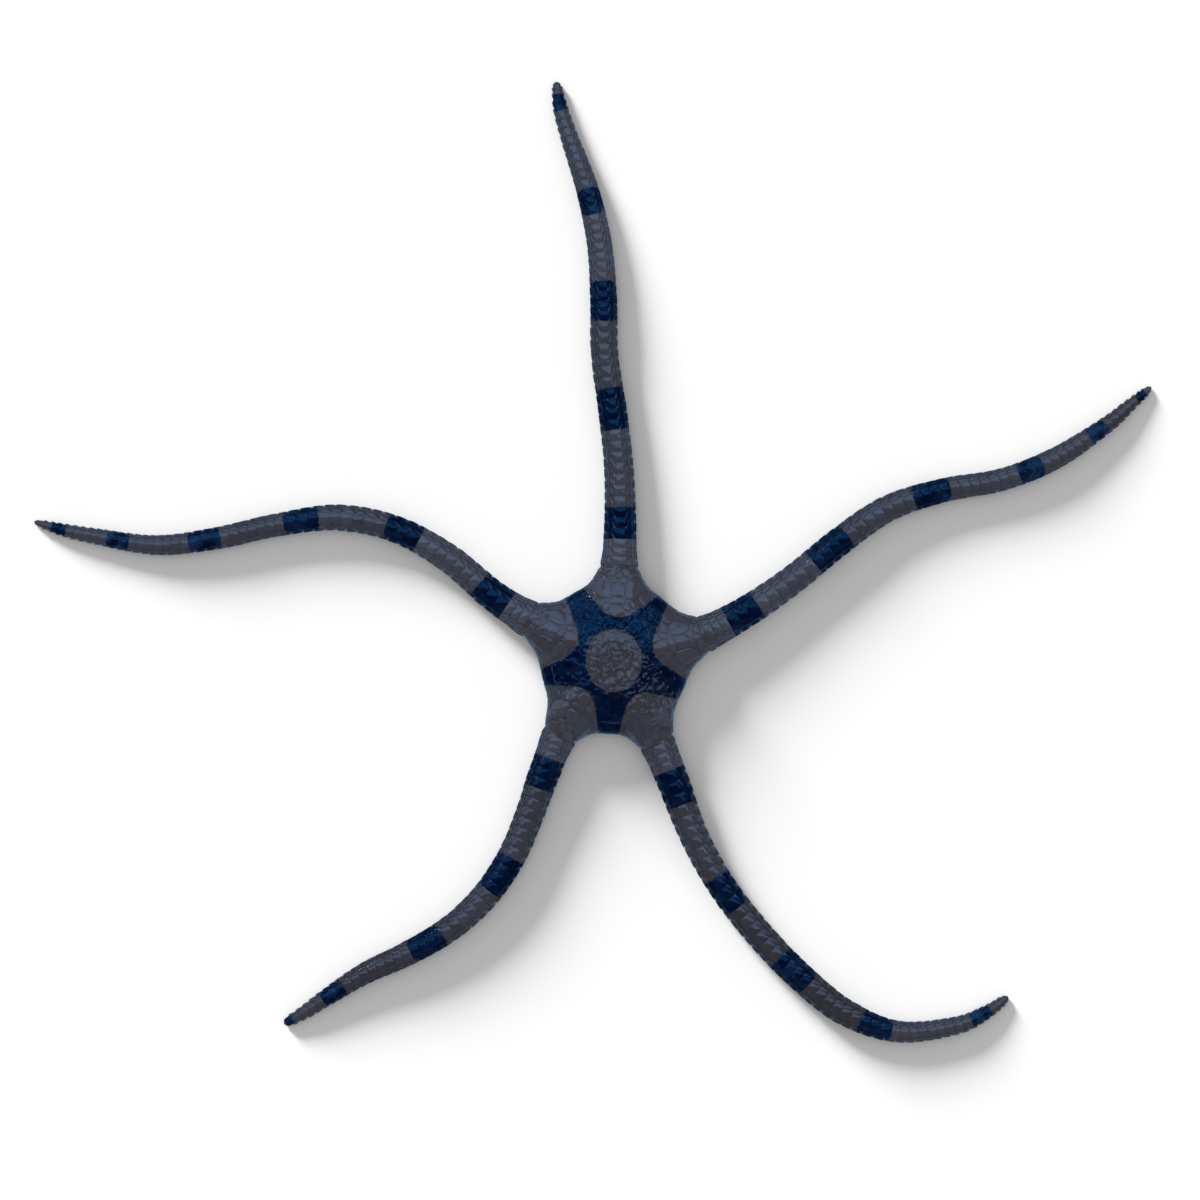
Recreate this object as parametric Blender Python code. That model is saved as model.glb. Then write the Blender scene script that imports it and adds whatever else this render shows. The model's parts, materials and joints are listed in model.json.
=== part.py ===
"""A banded brittle star at life size, lying on a flat floor with its five arms spread.

Sizes are in millimetres and MM turns them into metres. Plan positions are measured from the
middle of the disc. At the end the whole animal is moved so that its bounding box is centred on
the origin, with the flats of its underside at z = 0.
"""

import math
import random

import bmesh
import bpy
import numpy as np

MM = 0.001
SEED = 11
GAP = 0.3  # between pieces that touch, and across the step from one plate to the next

# The disc
DISC_HEIGHT = 7.0
ARM_AXES = (86.8, 154.5, 233.0, 298.2, 375.3)  # the arms' directions, degrees from +X towards +Y
DISC_SIDES = (15.2, 14.35, 14.45, 14.65, 15.15)  # from the middle to the margin between two arms
DISC_CORNER = 18.6  # from the middle to the margin over an arm
SIDE_FLARE = 3.1  # how far the margin runs out to an arm's side
FLARE_POWER = 3.5
ARM_SHARE = 11.8  # degrees from an arm's direction to its side at the margin
MARGIN_BLEND = 24.0  # the higher, the sharper the margin turns where it meets an arm
MARGIN_HEIGHT = 2.6  # of the margin between two arms
MARGIN_OVER_ARM = 5.0
UNDERSIDE_HEIGHT = 0.7  # of the soft skin between the arms, clear of the floor
DOME_POWER = 3.0  # the higher, the flatter the disc's middle
DISC_STEPS = (-1.0, -0.67, -0.47, -0.2, 0.2, 0.47, 0.67)  # of the disc's rings, from arm to arm

# The arms, each a run of plated segments
ARM_START = 20.8  # where an arm's first length meets the disc's stub
ROOT_JOINTS = (4.0, 11.0, 17.6, ARM_START)  # an arm's root, from beside the mouth to the stub's end
HEIGHT_SHARE = 0.73  # of an arm's width
ROOT_FLARE = 0.9  # extra width where an arm leaves the disc
PITCH_SHARE = 0.36  # a segment's length is this share of the width, plus PITCH_LEAST
PITCH_LEAST = 1.00
PLATE_STEP = 0.28  # how far a plate's free edge stands over the start of the next plate
GROOVE_SHARE = 0.97  # size of the arm in the groove between upper and side plates
SIDE_MARGIN = 0.12  # how far the side plates lie inside the width over the spines
TIP_LENGTH = 0.9

# Half of an arm's section, from the ridge to the floor: share of the half width, share of the
# height, how far the plate's edge runs ahead in shares of a segment, and whether it is stepped.
SECTION = (
    (0.00, 1.00, 0.24, 1),  # middle of the upper plate
    (0.45, 0.91, 0.02, 1),  # corner of the upper plate
    (0.57, 0.77, -0.08, 0),  # groove between upper plate and side plate
    (0.76, 0.73, 0.00, 1),  # shoulder of the side plate
    (1.00, 0.42, 0.12, 1),  # widest point of the side plate
    (0.66, 0.00, 0.00, 0),  # edge of the flat underside
)
SLIM_SECTION = SECTION[:2] + SECTION[4:]  # near the tip, where groove and shoulder fade

# Each arm: its route as (x, y, width over the spines) and its dark bands as (start, end), the
# distances along the arm from the middle of the disc.
ARMS = {
    "arm_1": {
        "route": (
            (0.1, 3.0, 6.9),
            (0.9, 16.0, 6.9),
            (1.2, 26.9, 6.3),
            (0.9, 37.3, 5.8),
            (-0.3, 48.1, 5.6),
            (-1.8, 58.7, 5.4),
            (-2.0, 69.1, 5.3),
            (-2.8, 79.9, 4.9),
            (-5.1, 90.4, 4.4),
            (-8.6, 100.6, 3.4),
            (-10.3, 106.2, 2.8),
            (-11.1, 111.1, 1.55),
        ),
        "bands": ((22.9, 29.2), (45.0, 52.6), (66.3, 73.4), (86.8, 91.8), (106.4, 110.6)),
    },
    "arm_2": {
        "route": (
            (-2.7, 1.2, 6.9),
            (-14.9, 7.1, 6.9),
            (-23.1, 12.3, 6.1),
            (-32.0, 19.7, 5.6),
            (-42.1, 25.2, 5.3),
            (-53.4, 27.4, 5.1),
            (-65.2, 25.9, 4.5),
            (-76.5, 23.4, 4.3),
            (-88.0, 22.1, 3.8),
            (-99.8, 23.8, 3.0),
            (-106.3, 25.1, 2.3),
            (-111.4, 26.5, 1.1),
        ),
        "bands": (
            (22.2, 29.9),
            (45.2, 51.7),
            (65.7, 72.0),
            (85.2, 91.1),
            (103.1, 107.2),
            (115.3, 117.9),
        ),
    },
    "arm_3": {
        "route": (
            (-2.0, -2.2, 6.9),
            (-9.6, -12.6, 6.9),
            (-13.2, -21.2, 6.2),
            (-16.3, -29.9, 5.7),
            (-19.8, -38.0, 5.6),
            (-25.0, -45.6, 5.4),
            (-31.8, -51.8, 5.1),
            (-39.8, -56.5, 4.8),
            (-47.9, -60.3, 4.2),
            (-55.4, -65.0, 3.3),
            (-58.9, -67.4, 2.75),
            (-63.3, -70.0, 1.75),
        ),
        "bands": ((21.9, 28.7), (43.8, 50.8), (64.0, 70.5), (86.0, 90.6), (97.2, 99.3)),
    },
    "arm_4": {
        "route": (
            (1.5, -2.6, 6.9),
            (7.6, -14.2, 6.9),
            (11.3, -23.2, 6.4),
            (15.3, -33.6, 5.7),
            (20.7, -43.4, 5.6),
            (27.8, -52.6, 5.6),
            (35.5, -60.6, 5.6),
            (44.2, -67.6, 5.3),
            (54.6, -71.5, 4.2),
            (65.7, -70.4, 3.45),
            (71.4, -68.0, 2.65),
            (75.7, -65.1, 1.5),
        ),
        "bands": ((23.3, 30.6), (46.6, 53.2), (66.8, 73.7), (86.6, 92.4), (107.7, 112.0)),
    },
    "arm_5": {
        "route": (
            (2.9, 0.6, 6.9),
            (15.6, 4.3, 6.9),
            (25.2, 9.2, 6.2),
            (34.4, 15.5, 5.7),
            (43.4, 22.8, 5.6),
            (52.6, 29.1, 5.2),
            (63.2, 32.6, 4.7),
            (74.6, 34.7, 4.4),
            (84.9, 38.8, 4.2),
            (94.6, 45.1, 3.2),
            (99.4, 49.1, 2.3),
            (103.3, 52.4, 1.2),
        ),
        "bands": (
            (22.4, 30.0),
            (44.1, 51.9),
            (67.4, 74.2),
            (88.5, 93.1),
            (104.1, 107.6),
            (115.6, 117.4),
        ),
    },
}
LENGTHS = ("base", "inner", "outer", "tip")
ROUTE_STEPS = 24  # points of the smooth line between two route points

# The spines: short pegs along both flanks, pressed flat and pointing to the tip of the arm
SPINE_SINK = 0.34  # how deep the root lies inside the side plate
SPINE_STAND = 0.30  # how far the point stands out beyond the side plate
SPINE_LENGTH = 0.78  # in shares of a segment
SPINE_RADIUS = 0.33  # at the root
SPINE_SIDES = 3
SPINE_ROOT = 0.30  # where the root lies, in shares of its segment
SPINE_ROOT_AT_JOINT = 0.12  # the same where a length of the arm ends, to stay clear of the next
SPINE_HEIGHTS = (0.58, 0.22)  # shares of the arm's height, taken in turn along the arm

# The disc's plates in one sector: distance along the sector's axis, distance to its side,
# length along the axis, width, lean in degrees, and whether it belongs to the dark star.
PLATES_OVER_ARM = (
    (6.9, 0.0, 2.8, 4.0, 0.0, True),
    (9.5, 0.0, 2.9, 3.0, 0.0, False),  # round inner plate
    (13.6, 3.1, 6.4, 3.2, 8.0, False),  # radial shields
    (13.6, -3.1, 6.4, 3.2, -8.0, False),
    (13.2, 0.0, 3.6, 3.0, 0.0, False),  # between the shields
    (17.3, 1.5, 2.9, 2.9, 0.0, False),  # outer pair
    (17.3, -1.5, 2.9, 2.9, 0.0, False),
)
PLATES_BETWEEN_ARMS = (
    (7.3, 0.0, 3.3, 4.8, 0.0, True),
    (10.3, 1.8, 3.1, 3.6, 0.0, True),
    (10.3, -1.8, 3.1, 3.6, 0.0, True),
    (13.2, 0.0, 2.9, 4.4, 0.0, True),
)
STAR_RING = (5.5, 8.4)  # the dark ring of the star, from and to
STAR_RAY = 3.0  # half the width of its rays
PLATES_IN_MIDDLE = 5
MIDDLE_RING = 3.6  # radius of the ring of middle plates
MIDDLE_PLATE = 3.8
PLATE_SIDES = 6
PLATE_GROOVE = 0.28  # between neighbouring plates
PLATE_RISE = 0.32
PLATE_SINK = 0.5
PLATE_FOOT = 1.08  # a plate's sunken foot and its top in shares of its size
PLATE_TOP = 0.86
PLATE_CROWN = 0.14  # how far a plate's middle stands above its top edge
PLATE_VARIES = 0.04
PLATE_LIMIT = 0.95  # the plates end at this share of the margin's radius

# The five jaws round the mouth, in plan along and across the line between two arms
JAW_OUTLINE = (
    (1.5, 0.45),
    (3.4, 1.15),
    (5.4, 1.7),
    (7.0, 2.3),
    (8.9, 2.5),
    (10.2, 1.5),
    (10.5, 0.0),
)
JAW_BOTTOM = 0.25
JAW_TOP = 2.3
JAW_EDGE = 0.35  # bevel round the lower face
TOOTH_RADIUS = 0.32
TOOTH_LENGTH = 1.1
TEETH = ((1.3, 0.0), (2.0, 0.72), (2.0, -0.72))  # along and across the jaw
MOUTH_RADIUS = 2.1
MOUTH_DEPTH = 3.0

# Finish: linear colour, roughness
PALE = ((0.115, 0.105, 0.130, 1.0), 0.30)
DARK = ((0.006, 0.016, 0.045, 1.0), 0.22)
BELLY = ((0.42, 0.37, 0.33, 1.0), 0.40)


def clear_scene():
    for ob in list(bpy.data.objects):
        bpy.data.objects.remove(ob, do_unlink=True)


def collection(name):
    made = bpy.data.collections.new(name)
    bpy.context.scene.collection.children.link(made)
    return made


def material(name, finish):
    colour, roughness = finish
    made = bpy.data.materials.new(name)
    made.use_nodes = True
    shader = made.node_tree.nodes["Principled BSDF"]
    shader.inputs["Base Color"].default_value = colour
    shader.inputs["Roughness"].default_value = roughness
    shader.inputs["Metallic"].default_value = 0.0
    made.diffuse_color = colour
    return made


def object_from(bm, name, home):
    """The mesh as an object of this collection, with its faces turned outwards."""
    bmesh.ops.recalc_face_normals(bm, faces=bm.faces)
    mesh = bpy.data.meshes.new(name)
    bm.to_mesh(mesh)
    bm.free()
    ob = bpy.data.objects.new(name, mesh)
    home.objects.link(ob)
    return ob


def loft(rings, tip=None):
    """A closed body through rings of equally many points, with each end closed by a fan."""
    bm = bmesh.new()
    rows = [[bm.verts.new(point) for point in ring] for ring in rings]
    count = len(rows[0])
    for row, following in zip(rows, rows[1:]):
        for k in range(count):
            after = (k + 1) % count
            bm.faces.new((row[k], row[after], following[after], following[k]))
    ends = (np.mean(rings[0], axis=0), np.mean(rings[-1], axis=0) if tip is None else tip)
    for row, end in zip((rows[0], rows[-1]), ends):
        middle = bm.verts.new(end)
        for k in range(count):
            bm.faces.new((row[k], row[(k + 1) % count], middle))
    return bm


def apply_modifier(ob, modifier):
    with bpy.context.temp_override(object=ob):
        bpy.ops.object.modifier_apply(modifier=modifier.name)


def keep_largest(ob):
    """Leaves only the closed surface that holds the most, so no scrap or sealed hollow stays."""
    bm = bmesh.new()
    bm.from_mesh(ob.data)
    unseen = set(bm.verts)
    surfaces = []
    while unseen:
        front = [unseen.pop()]
        surface = set(front)
        while front:
            vert = front.pop()
            for edge in vert.link_edges:
                other = edge.other_vert(vert)
                if other in unseen:
                    unseen.remove(other)
                    surface.add(other)
                    front.append(other)
        surfaces.append(surface)
    surfaces.sort(key=len)
    spare = [vert for surface in surfaces[:-1] for vert in surface]
    bmesh.ops.delete(bm, geom=spare, context="VERTS")
    bm.to_mesh(ob.data)
    bm.free()


def combine(ob, pieces, operation):
    """Joins the pieces to the object, or cuts them from it, and removes the pieces."""
    modifier = ob.modifiers.new(operation.lower(), "BOOLEAN")
    modifier.operation = operation
    modifier.operand_type = "COLLECTION"
    modifier.collection = pieces
    modifier.solver = "MANIFOLD"
    apply_modifier(ob, modifier)
    for piece in list(pieces.objects):
        bpy.data.objects.remove(piece, do_unlink=True)
    bpy.data.collections.remove(pieces)
    keep_largest(ob)


def curve_point(before, start, end, after, t):
    """A point of the smooth curve that runs through start and end, t of the way from one to the other."""
    return 0.5 * (
        2 * start
        + (end - before) * t
        + (2 * before - 5 * start + 4 * end - after) * t * t
        + (3 * start - before - 3 * end + after) * t**3
    )


class Route:
    """An arm's smooth middle line, read by the distance along it from the middle of the disc."""

    def __init__(self, points):
        points = np.array(points)
        first = 2 * points[0] - points[1]
        last = 2 * points[-1] - points[-2]
        padded = np.vstack((first, points, last))
        line = [
            curve_point(*padded[k : k + 4], step / ROUTE_STEPS)
            for k in range(len(points) - 1)
            for step in range(ROUTE_STEPS)
        ]
        self.line = np.array(line + [points[-1]])
        steps = np.linalg.norm(np.diff(self.line[:, :2], axis=0), axis=1)
        start = np.linalg.norm(points[0][:2])
        self.distance = start + np.concatenate(([0.0], np.cumsum(steps)))
        self.end = self.distance[-1]

    def at(self, s):
        """Plan position and width at the distance s."""
        x, y, width = (np.interp(s, self.distance, self.line[:, k]) for k in range(3))
        return np.array((x, y)), width

    def heading(self, s):
        """Unit vector towards the tip at the distance s."""
        ahead, _ = self.at(min(s + 0.8, self.end))
        behind, _ = self.at(max(s - 0.8, self.distance[0]))
        return (ahead - behind) / np.linalg.norm(ahead - behind)

    def point(self, s, aside, z):
        """A point in metres: s along the arm, aside to its left, z above the floor."""
        middle, _ = self.at(s)
        along = self.heading(s)
        x, y = middle + aside * np.array((-along[1], along[0]))
        return x * MM, y * MM, z * MM


def body_size(route, s):
    """Half the width of the plates without the spines, and the height, at the distance s."""
    _, width = route.at(s)
    flare = ROOT_FLARE * math.exp(-(((s - DISC_CORNER) / 3.0) ** 2))
    return 0.5 * (width + flare) - SIDE_MARGIN * min(1.0, width / 4.0), HEIGHT_SHARE * width


def section_ring(route, section, s, pitch, stepped, size=1.0):
    """The ring of points round an arm; stepped rings lie lower by a plate's step."""
    half, height = body_size(route, s)
    drop = 1.0 - (PLATE_STEP / half if stepped else 0.0)
    left = []
    right = []
    for aside, up, ahead, has_step in section:
        share = size * (drop if has_step else GROOVE_SHARE if up else 1.0)
        here = s + ahead * pitch
        z = up * height * share
        left.append(route.point(here, aside * half * share, z))
        if aside:
            right.append(route.point(here, -aside * half * share, z))
    return left + right[::-1]


def segment_ends(route, start, end):
    """Distances of the joints between segments, closer together where the arm is thinner."""
    ends = [start]
    while ends[-1] < end:
        _, width = route.at(ends[-1])
        ends.append(ends[-1] + PITCH_SHARE * width + PITCH_LEAST)
    stretch = (end - start) / (ends[-1] - start)
    return [start + (s - start) * stretch for s in ends]


def plated_loft(route, ends, section, closes_tip=False):
    """The body of a run of segments: each plate rises to its free edge and steps down to the next."""
    rings = []
    for near, far in zip(ends, ends[1:]):
        pitch = far - near
        rings.append(section_ring(route, section, near + GAP / 2, pitch, stepped=True))
        rings.append(section_ring(route, section, far - GAP / 2, pitch, stepped=False))
    if not closes_tip:
        return loft(rings)
    end = ends[-1]
    rings.append(section_ring(route, section, end, 0.3 * pitch, stepped=True, size=0.6))
    _, height = body_size(route, end)
    return loft(rings, tip=route.point(end + 0.6 * TIP_LENGTH, 0.0, 0.3 * height))


def is_dark(bands, near, far):
    """Whether a segment's middle lies in one of the dark bands."""
    return any(start <= (near + far) / 2 <= end for start, end in bands)


def paint_segments(ob, ends, section, bands):
    """Gives the dark segments of a loft the second material; its faces are in order along the arm."""
    faces_of_segment = 2 * (2 * len(section) - 1)
    for poly in ob.data.polygons:
        number = min(poly.index // faces_of_segment, len(ends) - 2)
        poly.material_index = int(is_dark(bands, ends[number], ends[number + 1]))


def paint(ob, dark):
    for poly in ob.data.polygons:
        poly.material_index = int(dark)


def side_plate(route, section, s, up):
    """Half the width of the side plates at this share of the height."""
    half, height = body_size(route, s)
    shares = [row[0] for row in section[::-1]]
    heights = [row[1] for row in section[::-1]]
    return half * np.interp(up, heights, shares), up * height


def spine(route, section, s, pitch, side, up, reach, home):
    """One tapered peg, its root inside the side plate and its point just clear of it."""
    _, width = route.at(s)
    size = min(1.0, width / 3.6)
    half, z = side_plate(route, section, s, up)
    root = np.array(route.point(s, side * (half - SPINE_SINK * size), z))
    far = s + reach * pitch
    far_half, far_z = side_plate(route, section, far, up)
    point = np.array(route.point(far, side * (far_half + SPINE_STAND * size), far_z))
    axis = (point - root) / np.linalg.norm(point - root)
    across = np.cross(axis, (0.0, 0.0, 1.0))
    across /= np.linalg.norm(across)
    upright = np.cross(across, axis)
    bm = bmesh.new()
    apex = bm.verts.new(point)
    foot = []
    for k in range(SPINE_SIDES):
        turn = math.tau * (k + 0.5) / SPINE_SIDES
        out = math.cos(turn) * across + math.sin(turn) * upright
        foot.append(bm.verts.new(root + SPINE_RADIUS * size * MM * out))
    bm.faces.new(foot)
    for k in range(SPINE_SIDES):
        bm.faces.new((foot[k], foot[(k + 1) % SPINE_SIDES], apex))
    return object_from(bm, "spine", home)


def arm_length(name, arm, route, ends, finishes, home, last):
    """One length of an arm as a node: its plated body with the spines of both flanks fused to it."""
    section = SLIM_SECTION if last else SECTION
    ob = object_from(plated_loft(route, ends, section, closes_tip=last), name, home)
    for finish in finishes:
        ob.data.materials.append(finish)
    paint_segments(ob, ends, section, arm["bands"])
    spines = collection(name + "_spines")
    spined = ends[:-1] if last else ends
    for number, (near, far) in enumerate(zip(spined, spined[1:])):
        pitch = far - near
        root_share = SPINE_ROOT_AT_JOINT if far == ends[-1] else SPINE_ROOT
        for side in (-1, 1):
            up = SPINE_HEIGHTS[(number + (side > 0)) % len(SPINE_HEIGHTS)] + random.uniform(-0.02, 0.02)
            reach = SPINE_LENGTH * random.uniform(0.94, 1.06)
            peg = spine(route, section, near + root_share * pitch, pitch, side, up, reach, spines)
            paint(peg, is_dark(arm["bands"], near, far))
    combine(ob, spines, "UNION")
    shade(ob)
    return ob


def shade(ob):
    ob.data.shade_smooth()
    ob.data.set_sharp_from_angle(angle=math.radians(28))


def gap_middle(gap):
    """Direction midway between an arm and the next, and half the angle between the two."""
    start = ARM_AXES[gap]
    end = ARM_AXES[gap + 1] if gap < 4 else ARM_AXES[0] + 360.0
    return 0.5 * (start + end), 0.5 * (end - start)


def gap_place(degrees):
    """The gap that a direction lies in, degrees from its middle, and half its width."""
    turned = (degrees - ARM_AXES[0]) % 360.0 + ARM_AXES[0]
    gap = sum(turned >= axis for axis in ARM_AXES) - 1
    middle, half = gap_middle(gap)
    return gap, turned - middle, half


def rim_radius(degrees):
    gap, off, half = gap_place(degrees)
    side = DISC_SIDES[gap] + SIDE_FLARE * (abs(off) / (half - ARM_SHARE)) ** FLARE_POWER
    return (side**-MARGIN_BLEND + DISC_CORNER**-MARGIN_BLEND) ** (-1.0 / MARGIN_BLEND)


def rim_height(degrees):
    _, off, half = gap_place(degrees)
    return MARGIN_HEIGHT + (MARGIN_OVER_ARM - MARGIN_HEIGHT) * (off / half) ** 2


def dome_height(x, y):
    """Height of the disc's upper skin over a plan point."""
    degrees = math.degrees(math.atan2(y, x))
    out = min(1.0, math.hypot(x, y) / rim_radius(degrees))
    rim = rim_height(degrees)
    return rim + (DISC_HEIGHT - rim) * (1.0 - out**DOME_POWER)


def disc_ring(share, height):
    """A ring of points round the disc at this share of the rim's radius."""
    ring = []
    for gap in range(5):
        middle, half = gap_middle(gap)
        for step in DISC_STEPS:
            degrees = middle + step * half
            radius = share * rim_radius(degrees)
            x = radius * math.cos(math.radians(degrees))
            y = radius * math.sin(math.radians(degrees))
            ring.append((x * MM, y * MM, height(x, y, degrees) * MM))
    return ring


def disc_body():
    """The disc's flat dome with a rounded rim and a level underside."""
    rings = [
        disc_ring(share, lambda x, y, degrees: dome_height(x, y))
        for share in (0.25, 0.5, 0.72, 0.87, 0.96, 1.0)
    ]
    rings.append(disc_ring(0.985, lambda x, y, degrees: 0.5 * rim_height(degrees) + 0.3))
    rings.append(disc_ring(0.92, lambda x, y, degrees: UNDERSIDE_HEIGHT + 0.25))
    rings.append(disc_ring(0.82, lambda x, y, degrees: UNDERSIDE_HEIGHT))
    bm = loft(rings, tip=(0.0, 0.0, UNDERSIDE_HEIGHT * MM))
    top = min(bm.verts, key=lambda vert: vert.co.x**2 + vert.co.y**2 - vert.co.z)
    top.co = (0.0, 0.0, DISC_HEIGHT * MM)
    return bm


class Plate:
    """One plate of the disc: an ellipse in plan, cut straight where it meets its neighbours."""

    def __init__(self, along, aside, length, width, lean, dark, degrees):
        turn = math.radians(degrees)
        varied = random.uniform(1 - PLATE_VARIES, 1 + PLATE_VARIES)
        self.middle = np.array(
            (along * math.cos(turn) - aside * math.sin(turn), along * math.sin(turn) + aside * math.cos(turn))
        )
        self.half = 0.5 * np.array((length * varied, width / varied))
        self.turn = turn + math.radians(lean)
        self.dark = dark
        self.outline = [self.edge(math.tau * (k + 0.5) / PLATE_SIDES) for k in range(PLATE_SIDES)]

    def edge(self, angle):
        u, v = self.half * (math.cos(angle), math.sin(angle))
        c, s = math.cos(self.turn), math.sin(self.turn)
        return self.middle + (u * c - v * s, u * s + v * c)

    def reach(self, towards):
        """How far the ellipse extends in this direction."""
        c, s = math.cos(self.turn), math.sin(self.turn)
        u = towards[0] * c + towards[1] * s
        v = towards[1] * c - towards[0] * s
        return 1.0 / math.hypot(u / self.half[0], v / self.half[1])

    def cut_against(self, other):
        """Cuts the outline where the other plate begins, leaving half a groove."""
        apart = other.middle - self.middle
        distance = math.hypot(*apart)
        towards = apart / distance
        mine, theirs = self.reach(towards), other.reach(-towards)
        limit = distance * mine / (mine + theirs) - PLATE_GROOVE / 2
        if limit < mine:
            self.outline = cut_outline(self.outline, self.middle + limit * towards, towards)

    def stay_on_disc(self):
        """Draws in the corners that lie too near the margin."""
        for k, corner in enumerate(self.outline):
            limit = PLATE_LIMIT * rim_radius(math.degrees(math.atan2(corner[1], corner[0])))
            out = math.hypot(*corner)
            if out > limit:
                self.outline[k] = corner * limit / out


def cut_outline(outline, point, normal):
    """The part of a convex outline that lies behind the line through the point."""
    kept = []
    for start, end in zip(outline, outline[1:] + outline[:1]):
        before, after = np.dot(start - point, normal), np.dot(end - point, normal)
        if before <= 0:
            kept.append(start)
        if before * after < 0:
            kept.append(start + (end - start) * before / (before - after))
    return kept


def plate_layout():
    """All the plates of the upper side: a rosette in the middle, then five like sectors."""
    plates = [Plate(0.0, 0.0, MIDDLE_PLATE, MIDDLE_PLATE, 0.0, False, ARM_AXES[0])]
    for k in range(PLATES_IN_MIDDLE):
        degrees = ARM_AXES[0] + 360.0 * (k + 0.5) / PLATES_IN_MIDDLE
        plates.append(Plate(MIDDLE_RING, 0.0, MIDDLE_PLATE, 1.15 * MIDDLE_PLATE, 0.0, False, degrees))
    for gap, axis in enumerate(ARM_AXES):
        plates += [Plate(*row, axis) for row in PLATES_OVER_ARM]
        plates += [Plate(*row, gap_middle(gap)[0]) for row in PLATES_BETWEEN_ARMS]
    for plate in plates:
        for other in plates:
            if other is not plate:
                plate.cut_against(other)
        plate.stay_on_disc()
    return plates


def disc_plate(plate, home):
    """One low plate with sloping sides and a crowned top, set on the dome and sunk into it."""
    middle = np.mean(plate.outline, axis=0)
    rings = []
    for share, rise in ((PLATE_FOOT, -PLATE_SINK), (PLATE_TOP, PLATE_RISE)):
        spots = [middle + share * (corner - middle) for corner in plate.outline]
        rings.append([(x * MM, y * MM, (dome_height(x, y) + rise) * MM) for x, y in spots])
    crown = (*middle * MM, (dome_height(*middle) + PLATE_RISE + PLATE_CROWN) * MM)
    ob = object_from(loft(rings, tip=crown), "plate", home)
    paint(ob, plate.dark)
    return ob


def jaw_outline(clearance):
    """The jaw's outline in plan, moved outwards by the clearance."""
    half = list(JAW_OUTLINE)
    whole = half + [(along, -across) for along, across in reversed(half[:-1])]
    points = np.array(whole)
    before = np.roll(points, 1, axis=0)
    after = np.roll(points, -1, axis=0)
    run_in = points - before
    run_out = after - points
    run_in /= np.linalg.norm(run_in, axis=1)[:, None]
    run_out /= np.linalg.norm(run_out, axis=1)[:, None]
    normal_in = np.stack((-run_in[:, 1], run_in[:, 0]), axis=1)
    normal_out = np.stack((-run_out[:, 1], run_out[:, 0]), axis=1)
    lean = normal_in + normal_out
    reach = clearance / (0.5 * (lean**2).sum(axis=1))
    return points + lean * reach[:, None]


def jaw_prism(degrees, clearance, low, high, name, home):
    """The jaw's outline as an upright block from low to high, turned to its direction."""
    turn = math.radians(degrees)
    c, s = math.cos(turn), math.sin(turn)
    plan = [((a * c - b * s) * MM, (a * s + b * c) * MM) for a, b in jaw_outline(clearance)]
    return object_from(loft([[(x, y, z * MM) for x, y in plan] for z in (low, high)]), name, home)


def bevel_lower_edge(ob):
    """Rounds the edge of the lower face."""
    bm = bmesh.new()
    bm.from_mesh(ob.data)
    lowest = min(vert.co.z for vert in bm.verts)
    rim = [
        edge
        for edge in bm.edges
        if all(vert.co.z < lowest + 1e-6 for vert in edge.verts)
        and any(face.normal.z > -0.5 for face in edge.link_faces)
    ]
    bmesh.ops.bevel(bm, geom=rim, offset=JAW_EDGE * MM, segments=1, affect="EDGES")
    bm.to_mesh(ob.data)
    bm.free()


def tooth(degrees, along, across, home):
    """A short blunt cone pointing at the middle of the mouth."""
    bm = bmesh.new()
    bmesh.ops.create_cone(
        bm,
        cap_ends=True,
        segments=4,
        radius1=TOOTH_RADIUS * MM,
        radius2=0.5 * TOOTH_RADIUS * MM,
        depth=TOOTH_LENGTH * MM,
    )
    ob = object_from(bm, "tooth", home)
    turn = math.radians(degrees)
    x = along * math.cos(turn) - across * math.sin(turn)
    y = along * math.sin(turn) + across * math.cos(turn)
    ob.location = (x * MM, y * MM, 0.5 * (JAW_BOTTOM + JAW_TOP) * MM)
    ob.rotation_euler = (0.0, -math.pi / 2, turn)
    return ob


def jaw(number, finish, home):
    """One wedge of the mouth's frame: the oral shield outside, the teeth at its inner end."""
    degrees = gap_middle(number - 1)[0]
    ob = jaw_prism(degrees, 0.0, JAW_BOTTOM, JAW_TOP, f"jaw_{number}", home)
    ob.data.materials.append(finish)
    bevel_lower_edge(ob)
    teeth = collection("teeth")
    for along, across in TEETH:
        tooth(degrees, along, across, teeth)
    bpy.context.view_layer.update()
    combine(ob, teeth, "UNION")
    shade(ob)
    return ob


def dark_star(ob):
    """Darkens the dome's skin, before the plates join it, where the dark star's plates lie."""
    for poly in ob.data.polygons:
        x, y, z = poly.center / MM
        out = math.hypot(x, y)
        _, off, _ = gap_place(math.degrees(math.atan2(y, x)))
        aside = abs(out * math.sin(math.radians(off)))
        in_ring = STAR_RING[0] < out < STAR_RING[1]
        in_ray = aside < STAR_RAY and out > STAR_RING[0]
        poly.material_index = int(z > MARGIN_HEIGHT and (in_ring or in_ray))


def mouth(home):
    """A round hole through the level underside, between the tips of the jaws."""
    bm = bmesh.new()
    bmesh.ops.create_cone(
        bm,
        cap_ends=True,
        segments=20,
        radius1=MOUTH_RADIUS * MM,
        radius2=MOUTH_RADIUS * MM,
        depth=2 * MOUTH_DEPTH * MM,
    )
    return object_from(bm, "mouth", home)


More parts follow.
